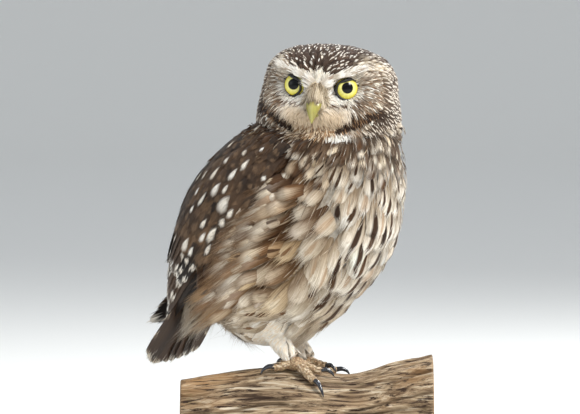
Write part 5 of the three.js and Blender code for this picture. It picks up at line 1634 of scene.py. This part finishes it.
# Legs and feet: short creamy feathers down to the toes, thin bristly ones over the buff toe skin,
# rough pads below, and claws of black horn that curve round into the wood. Two toes of each foot
# point ahead and two behind, as an owl grips.
TOES = [("inner", 30, 1.0), ("middle", -16, 1.1), ("outer", -138, 0.9), ("hind", 160, 0.75)]
TOE = {"reach": 15, "radius": 3, "claw": 10, "claw_radius": 1.5}
CLAW_TAPER = [(0, 1.05), (1 / 3, 0.92), (2 / 3, 0.62), (0.92, 0.26), (1, 0.08)]
TUFTS, TOE_SIDES, TOE_STEPS = 95, 28, 30

leg_draw = np.random.default_rng(81)
leg_roots = scattered(lambda p: legged(to_owl(p)), lambda p: 1.3 + 0 * p[:, 0], 82, 1.4)
leg_lengths = leg_draw.uniform(6.5, 9.0, len(leg_roots))
leg_path, leg_ups = combed(leg_roots, leg_lengths, 3, waver=0.07, seed=6)
count = len(leg_roots)
leg_look = worn(varied(mixed(swatch(244, 234, 218), swatch(250, 246, 238), leg_draw.random(count)),
                       leg_draw, count, 0.03),
                varied(swatch(236, 220, 196), leg_draw, count, 0.04), (0.0, 0.7, ONCE),
                (leg_draw.uniform(0.0, 0.3, count) + 0.01, 0.5, 0.0))
leg_size = {"half": 1.4, "lift": 1.1 * leg_draw.uniform(0.8, 1.2, count), "bow": 0.25, "root": 0.1, "stray": 0.8,
            "loose": 1.2}
even = unkinked(leg_path, leg_lengths)
plumage("leg_feathers", FLECK, *chosen(even, leg_path, leg_ups, leg_size, leg_look), fine_plume, "leg", 83)

toe_skin = Finish("buff_toe_skin", Roughness=0.6, Subsurface_Weight=0.08, Subsurface_Scale=0.001)
scutes = toe_skin.node("TexVoronoi", {"Vector": toe_skin.node("TexCoord").outputs["Object"], "Scale": 900.0})
scute_share = toe_skin.ramp(scutes.outputs["Distance"], (0.1, 0.0), (0.7, 1.0))
toe_skin.paint(toe_skin.mix(scute_share, colour(196, 170, 134), colour(132, 106, 78)))
toe_skin.bump(scute_share, 0.3, 0.8)
claw_horn = Finish("black_claw_horn", Roughness=0.22, Coat_Weight=0.5, Coat_Roughness=0.1)
claw_grain = claw_horn.noise(700, (1, 1, 1), 3)
claw_horn.paint(claw_horn.ramp(claw_grain, (0.35, colour(16, 16, 19)), (0.7, colour(52, 56, 66))))
claw_horn.bump(claw_grain, 0.06, 0.5)

toe_tufts = {"path": [], "up": []}
tuft_draw = np.random.default_rng(84)
for leg in LEGS:
    name = "right" if leg["side"] < 0 else "left"
    foot = np.array([leg["side"] * leg["x"], leg["y"]])
    ankle_ground = float(ground_under(*foot))
    lofts = []
    for toe, turn, share in TOES:
        angle = math.radians(turn + leg["twist"]) * leg["side"]
        reach = TOE["reach"] * share

        def at(away, lift):
            """A place along the toe, lifted off the limb."""
            x, y = foot[0] - math.sin(angle) * away, foot[1] - math.cos(angle) * away
            return (x, y, float(ground_under(np.array(x), np.array(y))) + lift)

        knots = [at(-2, 5.5), at(reach * 0.35, 4.4), at(reach * 0.7, 3), at(reach, 2.7)]
        r = TOE["radius"]
        shares = np.linspace(0, 1, TOE_STEPS + 1)
        knuckled = r * (1.06 - 0.34 * shares**1.6) + 0.26 * np.cos(shares * 2 * np.pi * 3.2)
        toe_rings = limb_of(knots, np.column_stack([shares, knuckled]), TOE_SIDES, TOE_STEPS)
        centre = toe_rings.mean(1, keepdims=True)
        below = np.clip(-(toe_rings - centre)[..., 2:] / r, 0, 1)
        toe_rings = toe_rings + (0, 0, 0.35) * below
        lofts.append(lofted(from_owl(toe_rings)))
        claw_knots = [at(reach - 1.5, 3.2), at(reach + TOE["claw"] * 0.3, 4.2),
                      at(reach + TOE["claw"] * 0.62, 2.9), at(reach + TOE["claw"] * 0.8, 0.5)]
        claw_rings = limb_of(claw_knots, [(u, TOE["claw_radius"] * thick) for u, thick in CLAW_TAPER], 24, 30)
        piece(f"claw_{name}_{toe}_horn", *lofted(from_owl(claw_rings)), claw_horn, "claw", [f"claw_{name}_{toe}"])
        ring, spoke = tuft_draw.integers(1, 25, TUFTS), tuft_draw.integers(0, TOE_SIDES, TUFTS)
        roots = toe_rings[ring, spoke]
        out = unit(roots - centre[ring, 0])
        upper = out[:, 2] > -0.15
        roots, out, ring = roots[upper], out[upper], ring[upper]
        ahead = unit(centre[np.minimum(ring + 3, TOE_STEPS), 0] - centre[ring, 0] + 1e-6)
        long = tuft_draw.uniform(2.2, 3.8, len(roots))[:, None, None]
        toe_tufts["path"].append(from_owl(roots[:, None] + ahead[:, None] * long * steps_along(4)))
        toe_tufts["up"].append(out @ OWL_TURN.T)
    turn = np.linspace(0.05, np.pi - 0.05, 14)
    ball = round_circle(32)
    ankle = np.stack([foot[0] + 5.4 * np.outer(np.sin(turn), np.cos(ball)),
                      foot[1] + 5.4 * np.outer(np.sin(turn), np.sin(ball)),
                      np.repeat((ankle_ground + 5 - 4.3 * np.cos(turn))[:, None], len(ball), 1)], -1)
    lofts.append(lofted(from_owl(ankle)))
    toe_points, toe_quads, _ = fused(f"foot_{name}_blank", lofts, 0.5)
    piece(f"foot_{name}_toes", toe_points, toe_quads, toe_skin, "toe", [f"foot_{name}"])

tuft_path, tuft_up = np.vstack(toe_tufts["path"]), np.vstack(toe_tufts["up"])
count = len(tuft_path)
tuft_look = worn(varied(mixed(swatch(208, 184, 150), CREAM, tuft_draw.random(count)), tuft_draw, count, 0.08),
                 varied(swatch(150, 122, 92), tuft_draw, count, 0.1), (0.0, 0.95, ONCE),
                 (tuft_draw.uniform(0.02, 0.3, count), 0.8, 0.0))
plumage("toe_bristles", HAIR, tuft_path, tuft_up,
        {"half": 0.5, "lift": 0.5, "bow": 0.1, "root": -0.1, "stray": 0.7}, tuft_look, fine_plume, "toe", 85,
        layout=np.random.default_rng(86).random((count, 2)) * 0.96 + 0.02)

# Studio: a plain pale floor that sweeps up far off on every side, large soft lamps and a long lens
# held just above the level of the limb. None of it is part of the object.
VIEW = {"centre": (-10, -0.4, 212.5), "width": 348, "distance": 3500, "elevation": 2}

sweep_finish = Finish("pale_floor", Base_Color=colour(242, 241, 237), Roughness=0.9, Specular_IOR_Level=0.1)
floor_angle = round_circle(128)
bend = np.linspace(0, np.pi / 2, 24)
floor_profile = [(0.5, 0), (200, 0), (1000, 0), (5000, 0), (9000, 0)]
floor_profile += [(9000 + 4000 * math.sin(b), 4000 - 4000 * math.cos(b)) for b in bend[1:]] + [(13000, 7000)]
floor_rings = [np.column_stack([r * np.cos(floor_angle), r * np.sin(floor_angle),
                                np.full(len(floor_angle), z - 0.2)])
               for r, z in floor_profile]
floor = piece("studio_floor", *lofted(floor_rings, True, False), sweep_finish, None)

world = bpy.data.worlds.new("studio_air")
bpy.context.scene.world = world
world.use_nodes = True
world.node_tree.nodes["Background"].inputs["Color"].default_value = colour(226, 232, 240)
world.node_tree.nodes["Background"].inputs["Strength"].default_value = 0.72


def soft_lamp(name, place, size, power, tint):
    """A round lamp that faces the model."""
    lamp = bpy.data.lights.new(name, "AREA")
    lamp.shape, lamp.size, lamp.energy, lamp.color = "DISK", size, power, tint
    holder = bpy.data.objects.new(name, lamp)
    holder.location = place
    holder.rotation_euler = (Vector((0, 0, 0.2)) - Vector(place)).to_track_quat("-Z", "Y").to_euler()
    holder.visible_camera = False
    bpy.context.scene.collection.objects.link(holder)


soft_lamp("high_right_lamp", (1.4, -1.2, 2.1), 0.9, 78, (1.0, 0.985, 0.96))
soft_lamp("left_fill_lamp", (-2.2, -1.4, 1.0), 1.6, 9, (0.94, 0.97, 1.0))
soft_lamp("back_rim_lamp", (1.2, 1.7, 1.7), 0.8, 40, (0.95, 0.98, 1.0))

bpy.context.scene.view_settings.view_transform = "Standard"

camera = bpy.data.objects.new("long_lens", bpy.data.cameras.new("long_lens"))
camera.data.lens = 36 * VIEW["distance"] / VIEW["width"]
tilt = math.radians(VIEW["elevation"])
aim = Vector(VIEW["centre"]) * 0.001
back = Vector((0, -math.cos(tilt), math.sin(tilt)))
camera.location = aim + back * VIEW["distance"] * 0.001
camera.rotation_euler = (-back).to_track_quat("-Z", "Y").to_euler()
camera.data.clip_end = 60
bpy.context.scene.collection.objects.link(camera)
bpy.context.scene.camera = camera
